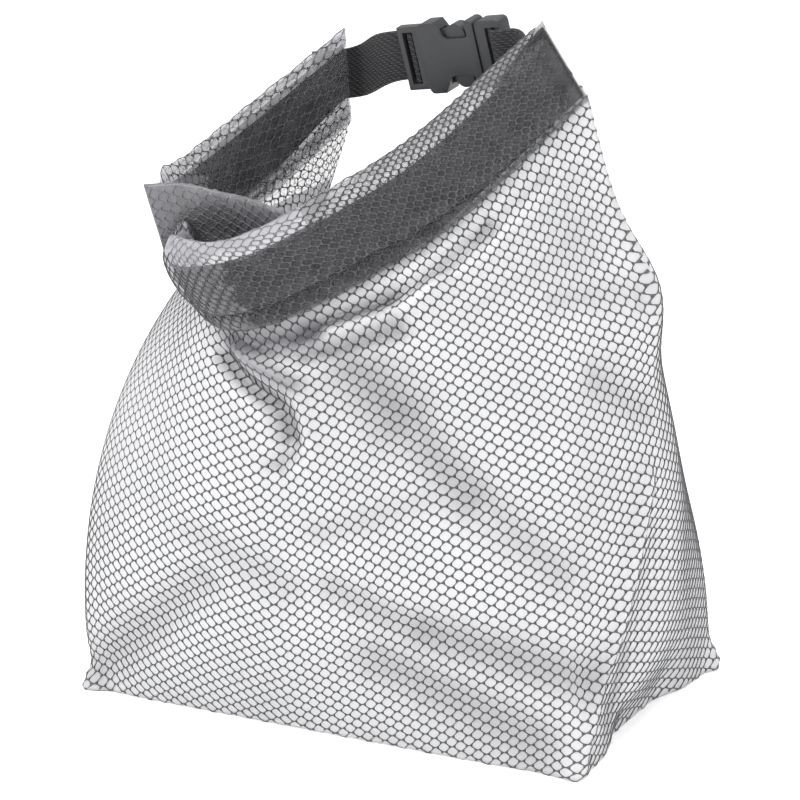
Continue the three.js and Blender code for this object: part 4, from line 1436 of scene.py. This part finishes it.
def strap_along(name, places, node):
    """A strap through places, each with the way its width lies there."""
    stops = np.array([point for point, _ in places])
    knots = chord_knots(stops)
    at = np.linspace(0, knots[-1], STRAP_SAMPLES)
    centres = through_points(knots, stops, at)
    widths = through_points(knots, unit(np.array([width for _, width in places])), at)
    tangents = unit(np.gradient(centres, axis=0))
    flat = unit(widths - np.sum(widths * tangents, axis=1, keepdims=True) * tangents)
    through = np.cross(tangents, flat)
    section, weave_across = strap_section(STRAP_WIDTH, STRAP_THICK)
    points = centres[:, None] + flat[:, None] * section[:, :1] + through[:, None] * section[:, 1:]
    piece = woven_piece(name, points, at, section, weave_across, strap_webbing)
    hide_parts(node)
    print("length of", name + ", mm:", knots[-1].round(1))


# %% Rear strap
REAR_STRAP_LEVEL = 12.5


def rear_strap():
    low, rise, along, outward = (value[0] for value in strip_frames(np.array([1.0])))
    upward = unit(rise)
    start = low + rise * (REAR_STRAP_LEVEL / ROLL_HEIGHT) + outward * BAND_OUT
    straight_out = unit(along - upward * (along @ upward))
    lead = [(start + straight_out * distance, upward) for distance in (-2 * STRAP_LEAD, GAP)]
    end = tucked_end(LADDER_START + BAR_WIDTH, 1, -1, LADDER_THICK)
    strap_along("rear_strap", lead + end, "strap_rear")


rear_strap()

# %% Front strap
END_MARGIN = 3.0
BEHIND_HEM = -3.4
STRAP_DROP = 2.0


def front_strap():
    level = ROLL_HEIGHT - STRAP_WIDTH / 2 - STRAP_DROP
    lead = []
    for distance, behind in ((END_MARGIN, BEHIND_HEM), (END_MARGIN + STRAP_LEAD, BEHIND_HEM - STRAP_THICK)):
        low, rise, _, outward = (value[0] for value in strip_frames(np.array([distance / ROLL_LENGTH])))
        lead.append((low + rise * (level / ROLL_HEIGHT) + outward * behind, unit(rise)))
    end = tucked_end(PRONG_BASE_END - BAR_WIDTH, -1, 1, PRONG_BASE_THICK)
    strap_along("front_strap", lead + end, "strap_front")


front_strap()

# %% [markdown]
# ## Floor and light
#
# Product pictures are taken on a white sweep in a light tent. A curved sweep could be modelled, but a
# large pale floor, an even white surround and three large soft lights give the same even light with
# short, faint shadows. The floor glows a little, so that it stays as white as the surround.

# %% Floor
FLOOR_SIZE = 12.0
FLOOR_DROP = 0.3
FLOOR_GLOW = 0.3

deselect_all()
bpy.ops.mesh.primitive_plane_add(size=FLOOR_SIZE, location=(0, 0, -FLOOR_DROP * MM))
floor = bpy.context.object
floor.name = "floor"
floor_material, floor_tree = new_material("pale floor")
finish_material(floor_tree, add_node(floor_tree, "ShaderNodeBsdfPrincipled", [
    ("Base Color", linear("fafafa")), ("Roughness", 0.9),
    ("Emission Color", linear("ffffff")), ("Emission Strength", FLOOR_GLOW)]))
floor.data.materials.append(floor_material)
print("floor, m across:", FLOOR_SIZE)

# %% Surround and lights
WORLD_STRENGTH = 0.75

world = bpy.data.worlds.new("studio")
bpy.context.scene.world = world
world.use_nodes = True
surround = world.node_tree.nodes["Background"]
surround.inputs["Color"].default_value = linear("ffffff")
surround.inputs["Strength"].default_value = WORLD_STRENGTH

# Soft lights: place and size of the square in metres, and power in watts
SOFT_LIGHTS = {
    "key_light": ((-0.7, -0.7, 1.0), 0.7, 9.0),
    "fill_light": ((0.9, -0.6, 0.6), 0.8, 4.0),
    "top_light": ((0.0, 0.3, 1.3), 0.9, 8.0),
}
for light_name, (light_place, light_size, light_power) in SOFT_LIGHTS.items():
    light_data = bpy.data.lights.new(light_name, "AREA")
    light_data.size = light_size
    light_data.energy = light_power
    light = bpy.data.objects.new(light_name, light_data)
    light.location = light_place
    light.rotation_euler = (Vector(light_place) - CAMERA_TARGET).to_track_quat("Z", "Y").to_euler()
    bpy.context.scene.collection.objects.link(light)
bpy.context.scene.view_settings.view_transform = "Standard"
print("lights:", list(SOFT_LIGHTS))
